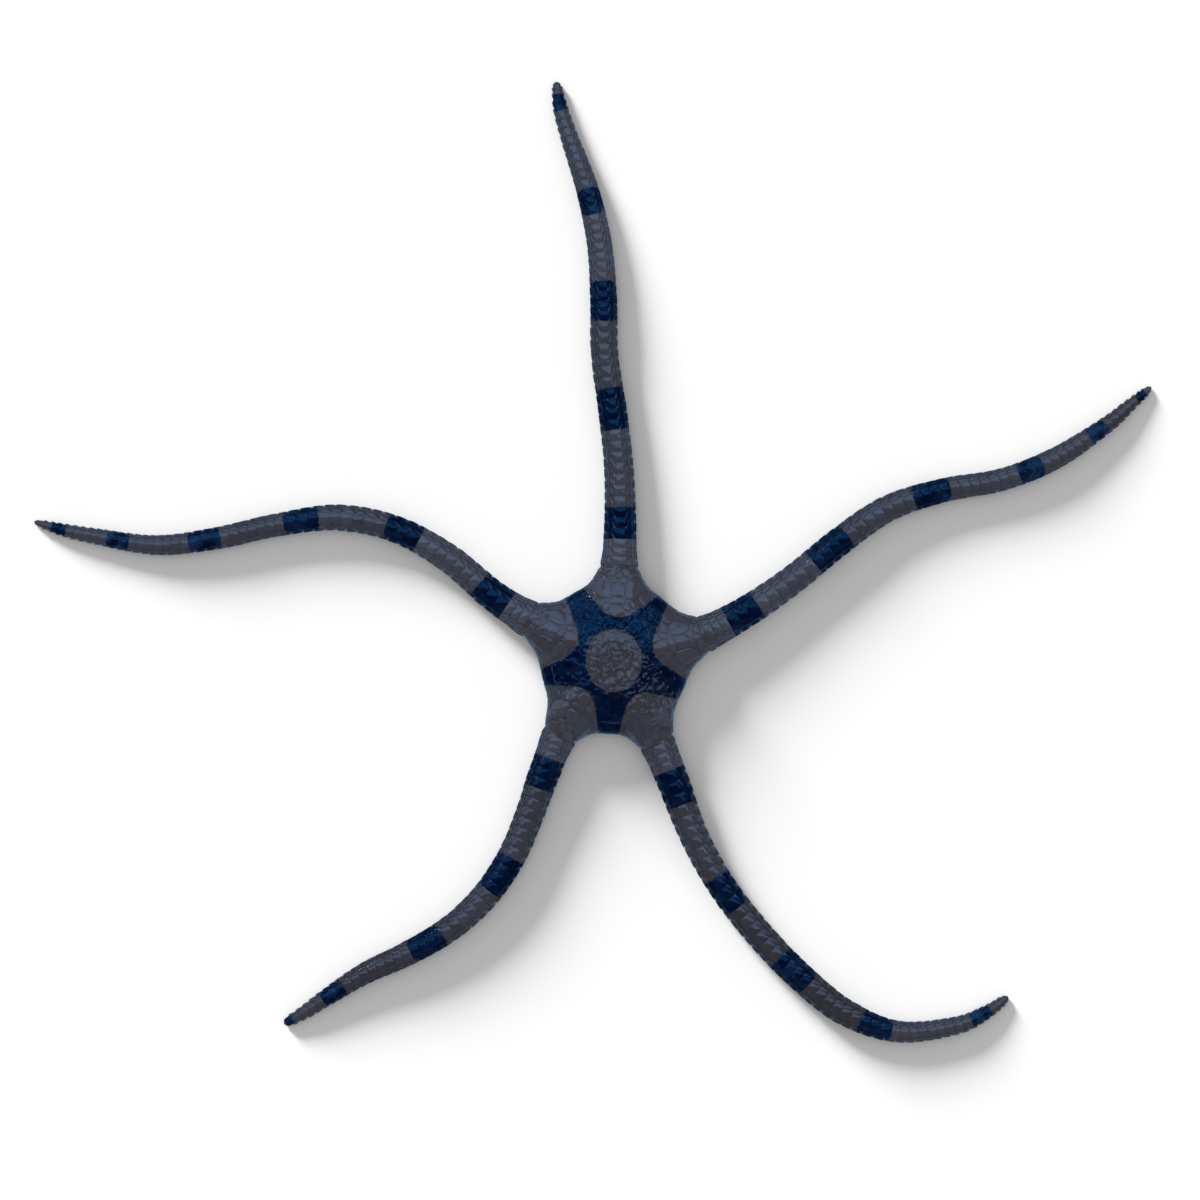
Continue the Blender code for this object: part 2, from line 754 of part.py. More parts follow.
def disc(routes, finishes, home):
    """The disc as a node: dome, the arms' roots under it, the plates, and the hollows for the jaws."""
    ob = object_from(disc_body(), "disc", home)
    for finish in finishes:
        ob.data.materials.append(finish)
    dark_star(ob)
    pieces = collection("disc_pieces")
    for name, route in routes.items():
        object_from(plated_loft(route, ROOT_JOINTS, SECTION), name + "_root", pieces)
    for plate in plate_layout():
        disc_plate(plate, pieces)
    combine(ob, pieces, "UNION")
    hollows = collection("disc_hollows")
    for number in range(1, 6):
        jaw_prism(gap_middle(number - 1)[0], GAP, -1.0, JAW_TOP + GAP, "hollow", hollows)
    mouth(hollows)
    combine(ob, hollows, "DIFFERENCE")
    shade(ob)
    return ob


def centre_on_floor(obs, carrier):
    """Moves the carrier so that the box of all nodes is centred on the origin."""
    corners = np.array([vert.co for ob in obs for vert in ob.data.vertices])
    low, high = corners.min(axis=0), corners.max(axis=0)
    carrier.location = (-0.5 * (low[0] + high[0]), -0.5 * (low[1] + high[1]), 0.0)


def main():
    clear_scene()
    random.seed(SEED)
    home = collection("brittle_star")
    carrier = bpy.data.objects.new("brittle_star", None)
    home.objects.link(carrier)
    pale_disc = material("disc_plates", PALE)
    dark_disc = material("disc_star", DARK)
    mouth_frame = material("jaws", BELLY)
    routes = {name: Route(arm["route"]) for name, arm in ARMS.items()}

    nodes = [disc(routes, (pale_disc, dark_disc), home)]
    nodes += [jaw(number, mouth_frame, home) for number in range(1, 6)]
    for name, arm in ARMS.items():
        finishes = (material(name + "_plates", PALE), material(name + "_bands", DARK))
        route = routes[name]
        ends = segment_ends(route, ARM_START, route.end - TIP_LENGTH)
        joints = [round(k * (len(ends) - 1) / len(LENGTHS)) for k in range(len(LENGTHS) + 1)]
        for k, length in enumerate(LENGTHS):
            run = ends[joints[k] : joints[k + 1] + 1]
            last = length == LENGTHS[-1]
            nodes.append(arm_length(f"{name}_{length}", arm, route, run, finishes, home, last))

    centre_on_floor(nodes, carrier)
    for ob in nodes:
        ob.parent = carrier


main()
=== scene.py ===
"""The looks of a banded brittle star: one skin, the plates and spines that cover it, and the jaws.

Shapes are worked out in millimetres, in plan from the middle of the disc, and MM turns them into
metres. Each plate or spine is laid on a surface that has its own two coordinates and a lift.
"""

import json
import math

import bpy
import numpy as np
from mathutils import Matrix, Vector

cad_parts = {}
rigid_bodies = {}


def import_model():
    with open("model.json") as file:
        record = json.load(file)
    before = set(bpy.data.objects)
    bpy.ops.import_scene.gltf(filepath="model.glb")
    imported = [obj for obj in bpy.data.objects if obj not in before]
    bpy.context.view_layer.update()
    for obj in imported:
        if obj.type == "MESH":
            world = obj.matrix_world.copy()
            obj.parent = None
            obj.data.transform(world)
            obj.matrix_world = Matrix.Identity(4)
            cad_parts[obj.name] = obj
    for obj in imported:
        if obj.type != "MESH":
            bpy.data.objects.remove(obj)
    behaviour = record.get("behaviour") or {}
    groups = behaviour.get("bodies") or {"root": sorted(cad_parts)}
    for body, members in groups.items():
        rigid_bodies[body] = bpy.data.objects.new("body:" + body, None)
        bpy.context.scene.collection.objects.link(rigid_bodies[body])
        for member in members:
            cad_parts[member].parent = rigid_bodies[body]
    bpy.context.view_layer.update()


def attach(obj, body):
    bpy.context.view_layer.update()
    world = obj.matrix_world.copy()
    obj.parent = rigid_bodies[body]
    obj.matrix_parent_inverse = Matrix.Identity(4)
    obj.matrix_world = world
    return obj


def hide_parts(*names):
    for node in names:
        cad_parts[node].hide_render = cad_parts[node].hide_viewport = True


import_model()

MM = 0.001
SEED = 7
DISC_MIDDLE = (3.984, -18.615)  # in the frame

# The disc, with the sizes of the solids
DISC_HEIGHT = 7.0
DISC_SIDES = (15.05, 14.2, 14.3, 14.5, 15.0)
DISC_CORNER = 18.6
ARM_AXES = (86.8, 154.5, 233.0, 298.2, 375.3)  # degrees
GAP_AXES = [0.5 * (a + b) for a, b in zip(ARM_AXES, (*ARM_AXES[1:], ARM_AXES[0] + 360.0))]
SIDE_FLARE = 3.4  # how far the edge runs out beside an arm
FLARE_POWER = 3.5
ARM_SHARE = 11.8  # degrees from an arm's axis to its edge
MARGIN_HEIGHT = 2.6
MARGIN_OVER_ARM = 4.4
UNDERSIDE_HEIGHT = 0.7
DOME_POWER = 3.0
RIM_START = 0.92  # share of the radius where the dome turns over into the margin
RIM_REACH = 1.03
RIM_END = 0.88

# The arms
ROOT_START = 5.0
DORSAL_START = 18.3
HEIGHT_SHARE = 0.73  # height to width
ROOT_FLARE = 0.6  # added width where an arm leaves the disc
ROOT_FLARE_REACH = 1.7
SIDE_MARGIN = 0.12  # room for the spines
SIDE_INSET = 0.06  # from the solids' outer surface in to the skin
TOP_INSET = 0.24
ARM_BOTTOM = 0.16  # of the skin, above the floor
UNDER_DISC = ((4.0, 8.0, 14.0, 18.0), (0.45, 0.62, 0.85, 1.0))  # distances, and shares of the width
PITCH_SHARE = 0.20  # of the width, added to the least length of a segment
PITCH_LEAST = 1.0
ROOT_PITCH = 1.55
LAST_JOINT = 0.4  # from the end
SLIM_WIDTH = 4.6  # plates are thinner where the arm is narrower than this
SLIM_LEAST = 0.18
HALF_ROUND = 1.22  # half of the way round a section, as a share of the width
ROUTE_STEPS = 24
BEYOND_TIP = 1.5
BAND_ROUND = 0.5  # how much shorter the bands are on the flanks
END_REACH = 0.25  # of the rounded end, past the last point of the route
END_LEVEL = 0.42  # its height, as a share of the arm's
BLUNT_END = 0.40  # radius of the rounded end, as a share of the width there

# Half of an arm's section from the middle of the back to the middle of the underside, as shares
# of half the width and of the height
SECTION = (
    (0.00, 1.00),
    (0.24, 0.985),
    (0.47, 0.92),
    (0.68, 0.80),
    (0.85, 0.63),
    (0.95, 0.44),
    (0.94, 0.25),
    (0.80, 0.09),
    (0.56, 0.015),
    (0.30, 0.0),
    (0.00, 0.0),
)

# Each arm's route, as places in plan from the middle of the disc with the width there; its dark
# bands, from and to along the route; how light each stretch between them is; how warm its tip is
ARMS = {
    "arm_1": {
        "route": (
            (0.1, 3.0, 6.9), (0.9, 16.0, 6.9), (1.2, 26.9, 6.3), (0.9, 37.3, 5.8),
            (-0.3, 48.1, 5.6), (-1.8, 58.7, 5.4), (-2.0, 69.1, 5.3), (-2.8, 79.9, 4.9),
            (-5.1, 90.4, 4.4), (-8.6, 100.6, 3.4), (-10.3, 106.2, 2.8), (-11.1, 111.1, 1.55),
        ),
        "bands": ((23.3, 29.4), (44.3, 52.4), (65.3, 73.0), (86.0, 91.1), (107.0, 110.3)),
        "lightness": (0.99, 0.52, 0.36, 0.91, 0.77, 0.5),
        "tip_warmth": 0.15,
    },
    "arm_2": {
        "route": (
            (-2.7, 1.2, 6.9), (-14.9, 7.1, 6.9), (-23.1, 12.3, 6.1), (-32.0, 19.7, 5.6),
            (-42.1, 25.2, 5.3), (-53.4, 27.4, 5.1), (-65.2, 25.9, 4.5), (-76.5, 23.4, 4.3),
            (-88.0, 22.1, 3.8), (-99.8, 23.8, 3.0), (-106.3, 25.1, 2.3), (-111.4, 26.5, 1.1),
        ),
        "bands": ((23.1, 29.8), (44.2, 51.1), (64.2, 71.0), (83.5, 89.8), (101.3, 105.6), (113.7, 116.6)),
        "lightness": (0.96, 0.73, 0.32, 0.33, 0.42, 0.55, 0.5),
        "tip_warmth": 0.4,
    },
    "arm_3": {
        "route": (
            (-2.0, -2.2, 6.9), (-9.45, -12.65, 6.5), (-13.2, -21.2, 6.2), (-16.3, -29.9, 5.7),
            (-19.8, -38.0, 5.6), (-25.0, -45.6, 5.4), (-31.8, -51.8, 5.1), (-39.8, -56.5, 4.8),
            (-47.9, -60.3, 4.2), (-55.4, -65.0, 3.3), (-58.9, -67.4, 2.75), (-63.3, -70.0, 1.75),
        ),
        "bands": ((22.7, 28.8), (43.1, 50.8), (63.1, 70.1), (84.7, 89.5), (96.4, 97.9)),
        "lightness": (0.9, 0.32, 0.32, 0.1, 0.48, 0.5),
        "tip_warmth": 0.6,
    },
    "arm_4": {
        "route": (
            (1.5, -2.6, 6.9), (7.5, -14.2, 6.5), (11.3, -23.2, 6.4), (15.3, -33.6, 5.7),
            (20.7, -43.4, 5.6), (27.8, -52.6, 5.6), (35.5, -60.6, 5.6), (44.2, -67.6, 5.3),
            (54.6, -71.5, 4.2), (65.7, -70.4, 3.45), (71.4, -68.0, 2.65), (75.7, -65.1, 1.5),
        ),
        "bands": ((23.7, 30.7), (46.1, 53.3), (65.8, 73.4), (85.6, 92.0), (107.7, 112.0)),
        "lightness": (0.74, 0.4, 0.06, 0.0, 0.58, 1.0),
        "tip_warmth": 0.4,
    },
    "arm_5": {
        "route": (
            (2.9, 0.6, 6.9), (15.6, 4.3, 6.9), (25.2, 9.2, 6.2), (34.4, 15.5, 5.7),
            (43.4, 22.8, 5.6), (52.6, 29.1, 5.2), (63.2, 32.6, 4.7), (74.6, 34.7, 4.4),
            (84.9, 38.8, 4.2), (94.6, 45.1, 3.2), (99.4, 49.1, 2.3), (103.3, 52.4, 1.2),
        ),
        "bands": ((23.2, 29.7), (43.2, 51.5), (66.2, 73.5), (87.0, 92.0), (102.4, 106.3), (114.2, 116.3)),
        "lightness": (0.73, 0.65, 0.4, 0.42, 0.52, 0.13, 1.0),
        "tip_warmth": 0.9,
    },
}
LENGTHS = ("base", "inner", "outer", "tip")
LIGHT_SPREAD = 0.07  # how much the lightness varies from plate to plate
TIP_WARMING = (34.0, 30.0)  # starts this far from the end, and is full after this length
DARK_LIGHTNESS = ((60.0, 90.0, 110.0), (0.15, 0.5, 1.0))  # distances, and the dark bands' lightness

# Plates round one segment of an arm. The share round the arm is 0 on the back and 1 underneath.
SIDE_SPAN = (0.21, 0.765)
SIDE_MIDDLE = 0.5 * (SIDE_SPAN[0] + SIDE_SPAN[1])
# Half of each plate's length as a share of the segment's, half of its breadth as a share of the
# way round, the rise of its edge and its crown above that
DORSAL_PLATE = (0.50, 0.222, 0.07, 0.15)
SIDE_PLATE = (0.49, 0.5 * (SIDE_SPAN[1] - SIDE_SPAN[0]), 0.06, 0.07)
CORNER_PLATE = (0.11, 0.02, 0.12, 0.06)
VENTRAL_PLATE = (0.48, 0.16, 0.05, 0.05)
FOOT_SCALE = (0.30, 0.042, 0.08, 0.05)
ROOT_PLATE = (0.47, 0.075, 0.04, 0.05)
SPINE_ROWS = (0.315, 0.40, 0.49, 0.58, 0.665)
# Distances along a spine or a blunt peg, and how thick it is there, as shares
SPINE_SHAPE = ((0.0, 0.2, 0.45, 0.7, 0.88, 0.97), (0.75, 1.0, 0.95, 0.75, 0.5, 0.25))
PEG_SHAPE = ((0.0, 0.35, 0.65, 0.86, 0.97), (1.0, 1.0, 0.88, 0.62, 0.3))
SPINE_RADIUS = 0.15
SPINE_LENGTH = 1.95
SPINE_LIFT = 0.07
TIP_SPINE_LIFT = 0.42
SPINE_ENDS = (0.9, 0.15)  # last root and last tip, from the arm's end

# Outlines of the plates of an arm as straight edges: the way each faces, along and round the
# arm, and its distance from the middle, as shares of half of the plate's length and breadth
DORSAL_EDGES = (
    (1.0, 0.0, 1.0),
    (-1.0, 0.0, 1.0),
    (-0.187, 0.982, 0.796),
    (-0.187, -0.982, 0.796),
)
SIDE_EDGES = ((1.0, 0.0, 1.0), (-1.0, 0.0, 1.0), (0.129, -0.992, 0.992), (0.0, 1.0, 1.0))
VENTRAL_EDGES = ((1.0, 0.0, 1.0), (-1.0, 0.0, 1.0), (0.0, 1.0, 1.0), (0.0, -1.0, 1.0))

# Plates of the disc in one sector: distance along its axis, distance to its side, length, width,
# lean in degrees, and how warm its colour is. One off the axis has a mirrored twin.
PLATES_OVER_ARM = (
    (9.4, 0.0, 2.8, 2.8, 0.0, 1.0),
    (10.3, 2.0, 1.5, 1.3, 0.0, 0.4),
    (11.45, 0.0, 1.5, 2.6, 0.0, 0.1),
    (11.0, 3.3, 2.2, 1.6, 25.0, 0.3),
    (13.6, 3.0, 5.6, 2.8, 12.0, 0.0),
    (13.4, 0.0, 2.6, 2.6, 0.0, 0.0),
    (15.5, 0.95, 1.3, 1.3, 0.0, 0.5),
    (16.5, 0.0, 1.7, 1.8, 0.0, 0.1),
    (17.4, 1.6, 2.3, 2.2, 0.0, 0.0),
    (18.2, 0.0, 1.4, 1.6, 0.0, 0.2),
    (14.4, 5.2, 2.8, 1.6, 14.0, 0.5),
    (12.2, 5.2, 2.4, 2.0, 0.0, 0.1),
)
PLATES_BETWEEN_ARMS = (
    (7.2, 0.0, 2.9, 4.2, 0.0, 0.2),
    (10.0, 1.6, 2.6, 3.0, 0.0, 0.2),
    (12.6, 0.0, 2.6, 3.4, 0.0, 0.2),
)
# Plates round the middle of the disc: distance, number, size, and how warm their colour is
MIDDLE_RINGS = ((0.0, 1, 1.7, 0.9), (1.95, 5, 2.2, 0.2), (4.3, 10, 2.4, 0.25))
FILL_SIZES = (1.25, 0.95, 0.72, 0.52, 0.40)  # of the scales in the room that is left
FILL_TRIES = 6000
GROOVE = 0.11  # width between two plates
DARK_GROOVE = 0.03
GROOVE_SHADE_LIGHTNESS = 0.2  # how light the skin is in the grooves, set low as painted shade between the plates

# The lane of rippled water across the disc, and how strong the ripples are on the dark ring
RIPPLE_MIDDLE = (3.6, -3.8)
RIPPLE_TURN = -42.0
RIPPLE_HALF = (11.0, 5.0)
RING_RIPPLES = 0.4

# The dark star
STAR_HOLE = (5.35, 6.1)  # half the width and height of the pale patch in the middle
STAR_RING = (7.6, 8.2)  # its outer radius, and that towards the first arm
STAR_MARGIN = 14.5
STAR_CORNER = 2.0  # how far from the corners their rounding starts
EDGE_SPREAD = 3.0  # distance over which a dark marking rises from 0 to 1
DARK_EDGE = (0.475, 0.525)  # the part of that rise where the colour turns
RAY_ROOT = 3.3  # half the width of a ray at the ring
RAY_ENDS = (2.1, 1.45, 1.9, 2.0, 1.35)  # and at the margin

# The jaws
JAW_OUTLINE = (
    (1.5, 0.45),
    (3.4, 1.15),
    (5.4, 1.7),
    (7.0, 2.3),
    (8.9, 2.5),
    (10.2, 1.5),
    (10.5, 0.0),
)
MOUTH_LINE = ((2.25, 0.7), (2.1, 0.9), (1.95, 1.9), (1.3, 2.7))  # radius and height of its rings
JAW_LEVEL = 0.55  # of the wedges' lower faces
JAW_BLOCK = ((2.2, 0.80), (1.6, 0.95), (0.9, 1.0), (0.66, 0.95), (0.57, 0.82))  # height, share
# Plates on each jaw: along and across its line, length, width and lean in degrees, with twins
JAW_PLATES = (
    (8.3, 0.0, 3.9, 4.4, 0.0),  # oral shield
    (5.75, 1.2, 3.0, 1.15, 24.0),  # adoral shields
    (3.9, 0.46, 2.5, 0.8, 12.0),  # the jaw's two halves
    (2.25, 0.0, 1.0, 0.62, 0.0),
)
SHIELD_EDGES = (
    (1.0, 0.0, 1.0),
    (0.45, 0.9, 0.95),
    (0.45, -0.9, 0.95),
    (-0.75, 0.66, 0.93),
    (-0.75, -0.66, 0.93),
)
PAPILLA_STATIONS = (2.35, 2.95, 3.55, 4.15, 4.75)
PAPILLA_RADIUS = 0.19
TEETH_HEIGHTS = (0.85, 1.3, 1.75)
TOOTH_RADIUS = 0.30
SLIT = (9.8, 14.2)  # from and to along the arm, on both of its sides
SLIT_WIDENING = 3.0  # degrees away from the arm
# The slit, a flat dark patch painted as the shade in its opening, and its pale rim: distance from the
# arm's side, length, width, rise and darkness
SHADED_SLIT_AND_RIM = ((0.22, 4.3, 0.34, 0.012, 1.0), (0.56, 4.6, 0.44, 0.10, 0.0))
SCALE_SIZES = (0.85, 0.62, 0.46, 0.34)

# Linear colours: the pale ground and its blotches, then what lighter, warmer and dark parts turn to
WET_COLOURS = (
    ((0.082, 0.084, 0.112), (0.078, 0.092, 0.140)),
    (0.108, 0.128, 0.178),
    (0.084, 0.074, 0.084),
    ((0.0012, 0.0064, 0.036), (0.0200, 0.0560, 0.150)),
)
DARK_FILM = (0.07, 0.42, 0.70)
# On the underside the dark pair colours only the slits, as painted shade
BELLY_COLOURS = (
    ((0.190, 0.168, 0.150), (0.165, 0.158, 0.160)),
    (0.260, 0.240, 0.225),
    (0.200, 0.150, 0.115),
    ((0.020, 0.013, 0.012), (0.030, 0.020, 0.018)),
)
JAW_COLOURS = (
    ((0.400, 0.345, 0.290), (0.350, 0.320, 0.300)),
    (0.500, 0.460, 0.420),
    (0.380, 0.280, 0.200),
    ((0.020, 0.013, 0.012), (0.030, 0.020, 0.018)),
)

DARKER_GROUND_AND_GROOVE_SHADE = (0.044, 0.040, 0.048)  # where a plate is darker than most, and the painted shade of the skin in the grooves
SPECKLE = (0.040, 0.036, 0.040)

# Camera and stage
CAMERA_AIM = (1.29, -7.078)
CAMERA_FIELD = 230.8
CAMERA_LENS = 120.0
SENSOR = 36.0
ANIMAL_MIDDLE_HEIGHT = 1.6
WORLD_LEVEL = 0.56
WINDOW_LEVEL = 1.5
WINDOW_COLOUR = (0.36, 0.58, 1.0)
WINDOW_RISE = (0.48, 1.0)  # its brightness at the near side, and how much brighter the far side is
WINDOW_RIM = (0.05, 0.035, 0.9)  # width of its bright rim, near and at the slant, and brightness
SLANT = (0.581, 0.431)  # the slanting side starts here, and moves this far, in shares of the panel
GLOW_LEVEL = 0.6
GLOW_COLOUR = (0.36, 0.66, 1.0)
GLINT_TOWARDS = (-0.62, 0.70, 0.42)
GLINT_LEVEL = 0.07
GLINT_SPREAD = 0.05
KEY_TOWARDS = (-0.61, 0.79, 0.25)
KEY_LEVEL = 8.6
KEY_SPREAD = 0.25  # radians
FLOOR_GREY = 0.83

# The map for baking, in shares of its width
PATCH = 0.0015  # half the width of a plate's patch
DISC_MAP_MIDDLE = (0.20, 0.80)
DISC_MAP_SCALE = 0.0085
ARM_MAP_START = (0.02, 0.07)
ARM_MAP_STEP = 0.115  # from one arm's strip to the next
ARM_MAP_SCALE = (0.0078, 0.05)

rng = np.random.default_rng(SEED)


def smooth_line(points, steps):
    """Evenly stepped points of the smooth curve through these points."""
    points = np.array(points, float)
    padded = np.vstack((2 * points[0] - points[1], points, 2 * points[-1] - points[-2]))
    t = np.arange(steps)[:, None] / steps
    runs = []
    for before, start, end, after in zip(padded, padded[1:], padded[2:], padded[3:]):
        bend = 2 * before - 5 * start + 4 * end - after
        twist = 3 * start - before - 3 * end + after
        runs.append(0.5 * (2 * start + (end - before) * t + bend * t**2 + twist * t**3))
    return np.vstack(runs + [points[-1:]])


def unit(vectors):
    return vectors / np.linalg.norm(vectors, axis=-1, keepdims=True)


def full_turn(count):
    """Evenly spaced angles all the way round."""
    return np.linspace(0, math.tau, count, endpoint=False)


def joined(*parts):
    """The parts, spread to one shape, side by side along a new last axis."""
    return np.stack(np.broadcast_arrays(*parts), axis=-1)


def compass(angles):
    """Unit vectors in plan towards these angles."""
    return joined(np.cos(angles), np.sin(angles))


def bearing(x, y):
    """Direction of a plan point from the middle, in degrees."""
    return np.degrees(np.arctan2(y, x))


def with_twins(rows):
    """The rows, with each that lies off the axis followed by its mirrored twin."""
    twins = []
    for along, aside, length, width, lean, *more in rows:
        twins.append((along, aside, length, width, lean, *more))
        if aside:
            twins.append((along, -aside, length, width, -lean, *more))
    return twins


SECTION_LINE = smooth_line(SECTION, 12)
SECTION_RUN = np.concatenate(([0.0], np.cumsum(np.linalg.norm(np.diff(SECTION_LINE, axis=0), axis=1))))
SECTION_RUN /= SECTION_RUN[-1]
SECTION_SLOPE = np.gradient(SECTION_LINE, SECTION_RUN, axis=0)
SECTION_SLOPE[0] = (1.0, 0.0)
SECTION_SLOPE[-1] = (-1.0, 0.0)


class Arm:
    """An arm's middle line, its width and its dark bands, by the distance from the disc's middle."""

    def __init__(self, route, bands, lightness, tip_warmth):
        line = smooth_line(route, ROUTE_STEPS)
        beyond = line[-1, :2] + BEYOND_TIP * unit(line[-1, :2] - line[-2, :2])
        line = np.vstack((line, (*beyond, 0.4)))
        steps = np.linalg.norm(np.diff(line[:, :2], axis=0), axis=1)
        self.distance = math.hypot(*line[0, :2]) + np.concatenate(([0.0], np.cumsum(steps)))
        self.end = self.distance[-2] + END_REACH
        headings = unit(np.gradient(line[:, :2], self.distance, axis=0))
        self.columns = (*line.T[:2], *headings.T, line[:, 2])
        self.bands = bands
        self.lightness = lightness
        self.tip_warmth = tip_warmth
        self.joints = self.segment_joints()

    def at(self, s):
        """Plan position, heading and width at the distance s."""
        return [np.interp(s, self.distance, column) for column in self.columns]

    def segment_joints(self):
        """The joints between segments, set so that each band covers whole segments."""
        stops = [ROOT_START, DORSAL_START]
        for band in self.bands:
            stops += band
        stops.append(self.end - LAST_JOINT)
        joints = [stops[0]]
        for start, end in zip(stops, stops[1:]):
            width = self.at(0.5 * (start + end))[4]
            pitch = PITCH_LEAST + PITCH_SHARE * width
            if start == DORSAL_START:
                pitch = ROOT_PITCH
            count = max(1, round((end - start) / pitch))
            joints += list(start + (end - start) * np.arange(1, count + 1) / count)
        return np.array(joints)

    def band_mark(self, s, u=0.0):
        """The dark marking of the bands, whose ends are rounded on the flanks."""
        s = np.asarray(s, float)
        short = BAND_ROUND * self.slim(s) * np.clip((s - 34.0) / 20.0, 0, 1)
        short = short * np.clip((np.abs(u) - 0.16) / 0.34, 0, 1) ** 2
        depths = [np.minimum(s - start - short, end - short - s) for start, end in self.bands]
        return edge_mark(np.max(depths, axis=0))

    def dark(self, s):
        """1 where a point lies in a dark band, else 0."""
        return (self.band_mark(s) >= 0.5).astype(float)

    def slim(self, s):
        """How much thinner the plates are near the tip."""
        return np.clip(self.at(s)[4] / SLIM_WIDTH, SLIM_LEAST, 1.0)

    def around(self, s):
        """Millimetres round half of the section."""
        return HALF_ROUND * self.at(s)[4]

    def blunt(self, s):
        """1 along the arm, and falling away in a round at its end."""
        radius = BLUNT_END * self.at(self.end)[4]
        return np.sqrt(1.0 - np.clip((s - self.end + radius) / radius, 0.0, 0.97) ** 2)

    def half(self, s):
        """Half of the skin's width: full outside the disc, and narrowing to the mouth under it."""
        flare = ROOT_FLARE * np.exp(-(((s - DISC_CORNER) / ROOT_FLARE_REACH) ** 2))
        whole = 0.5 * (self.at(s)[4] + flare) - (SIDE_MARGIN + SIDE_INSET) * self.slim(s)
        return whole * np.interp(s, *UNDER_DISC)

    def surface(self, s, u, lift):
        """Points at the distance s and the share u round the arm, lifted off the skin."""
        x, y, hx, hy, width = self.at(s)
        slim = self.slim(s)
        blunt = self.blunt(s)
        half = self.half(s) * blunt
        bottom = ARM_BOTTOM * slim
        height = HEIGHT_SHARE * width - TOP_INSET * slim - bottom
        turned = (u + 1.0) % 2.0 - 1.0
        side = np.where(turned < 0, -1.0, 1.0)
        share = np.abs(turned)
        aside = half * np.interp(share, SECTION_RUN, SECTION_LINE[:, 0])
        level = np.interp(share, SECTION_RUN, SECTION_LINE[:, 1])
        z = bottom + height * (END_LEVEL + blunt * (level - END_LEVEL))
        slope_aside = half * np.interp(share, SECTION_RUN, SECTION_SLOPE[:, 0])
        slope_up = height * blunt * np.interp(share, SECTION_RUN, SECTION_SLOPE[:, 1])
        size = np.hypot(slope_aside, slope_up)
        aside = side * (aside - lift * slim * slope_up / size)
        z = z + lift * slim * slope_aside / size
        return joined(x - hy * aside, y + hx * aside, z)


def gap_place(degrees):
    """Which gap between arms a direction lies in, degrees from its middle, and half its width."""
    axes = np.array((*ARM_AXES, ARM_AXES[0] + 360.0))
    turned = (degrees - axes[0]) % 360.0 + axes[0]
    gap = np.clip(np.searchsorted(axes, turned, side="right") - 1, 0, 4)
    middle = 0.5 * (axes[gap] + axes[gap + 1])
    return gap, turned - middle, axes[gap + 1] - middle


def off_side(degrees):
    """0 midway between two arms and 1 over an arm's axis."""
    _, off, half = gap_place(degrees)
    return np.abs(off) / half


def rim_radius(degrees):
    """The disc's edge: round between the arms, and flaring out along their sides."""
    gap, off, half = gap_place(degrees)
    side = np.array(DISC_SIDES)[gap]
    flare = side + SIDE_FLARE * (np.abs(off) / (half - ARM_SHARE)) ** FLARE_POWER
    return (flare**-24.0 + DISC_CORNER**-24.0) ** (-1 / 24)


def disc_profile(degrees):
    """Radius of the disc, height of its margin, and height and length of the turn under the dome."""
    radius = rim_radius(degrees)
    rim = MARGIN_HEIGHT + (MARGIN_OVER_ARM - MARGIN_HEIGHT) * off_side(degrees) ** 2
    turn_height = rim + (DISC_HEIGHT - rim) * (1.0 - RIM_START**DOME_POWER)
    return radius, rim, turn_height, 0.8 * (turn_height - UNDERSIDE_HEIGHT + 0.16 * radius)


def disc_base(x, y):
    """Point of the disc's skin: the dome, then round the margin to its lower edge."""
    out = np.hypot(x, y)
    radius, rim, turn_height, length = disc_profile(bearing(x, y))
    fall = DISC_HEIGHT - rim
    turn_out = RIM_START * radius
    slope = fall * DOME_POWER * RIM_START ** (DOME_POWER - 1.0) / radius
    t = np.clip((out - turn_out) / length, 0.0, 1.0)
    weights = ((1 - t) ** 3, 3 * t * (1 - t) ** 2, 3 * t * t * (1 - t), t**3)
    reaches = (RIM_START, RIM_REACH, RIM_REACH, RIM_END)
    straight_on = turn_height - slope * (RIM_REACH - RIM_START) * radius
    heights = (turn_height, straight_on, 0.75, UNDERSIDE_HEIGHT)
    round_out = sum(w * reach for w, reach in zip(weights, reaches)) * radius
    round_height = sum(w * height for w, height in zip(weights, heights))
    inside = out < turn_out
    share = np.minimum(out / radius, 1.0)
    dome = rim + fall * (1.0 - share**DOME_POWER)
    r = np.where(inside, out, round_out)
    z = np.where(inside, dome, round_height)
    safe = np.maximum(out, 1e-9)
    return joined(x / safe * r, y / safe * r, z)


def disc_limit(x, y):
    """Distance from the middle at which the disc's upper skin ends under the margin."""
    radius, _, _, length = disc_profile(bearing(x, y))
    return RIM_START * radius + length


def disc_surface(x, y, lift):
    step = 0.03
    base = disc_base(x, y)
    ahead = disc_base(x + step, y) - base
    left = disc_base(x, y + step) - base
    return base + unit(np.cross(ahead, left)) * lift[..., None]


def oral_surface(height):
    """A level surface that faces down at this height; its second coordinate runs along -Y."""

    def place(x, back, lift):
        return joined(x, -back, height - lift)

    return place


def at_height(plan, height):
    """Plan points with a height."""
    return np.column_stack((plan, np.broadcast_to(height, len(plan))))


def jaw_half(along):
    """Half of a jaw's width at the distance along its line."""
    return np.interp(along, *np.array(JAW_OUTLINE).T, left=-1.0, right=-1.0)


def edge_mark(depth):
    """The dark marking: it crosses one half at a marking's edge, and depth is counted inwards."""
    return np.clip(0.5 + depth / EDGE_SPREAD, 0, 1)


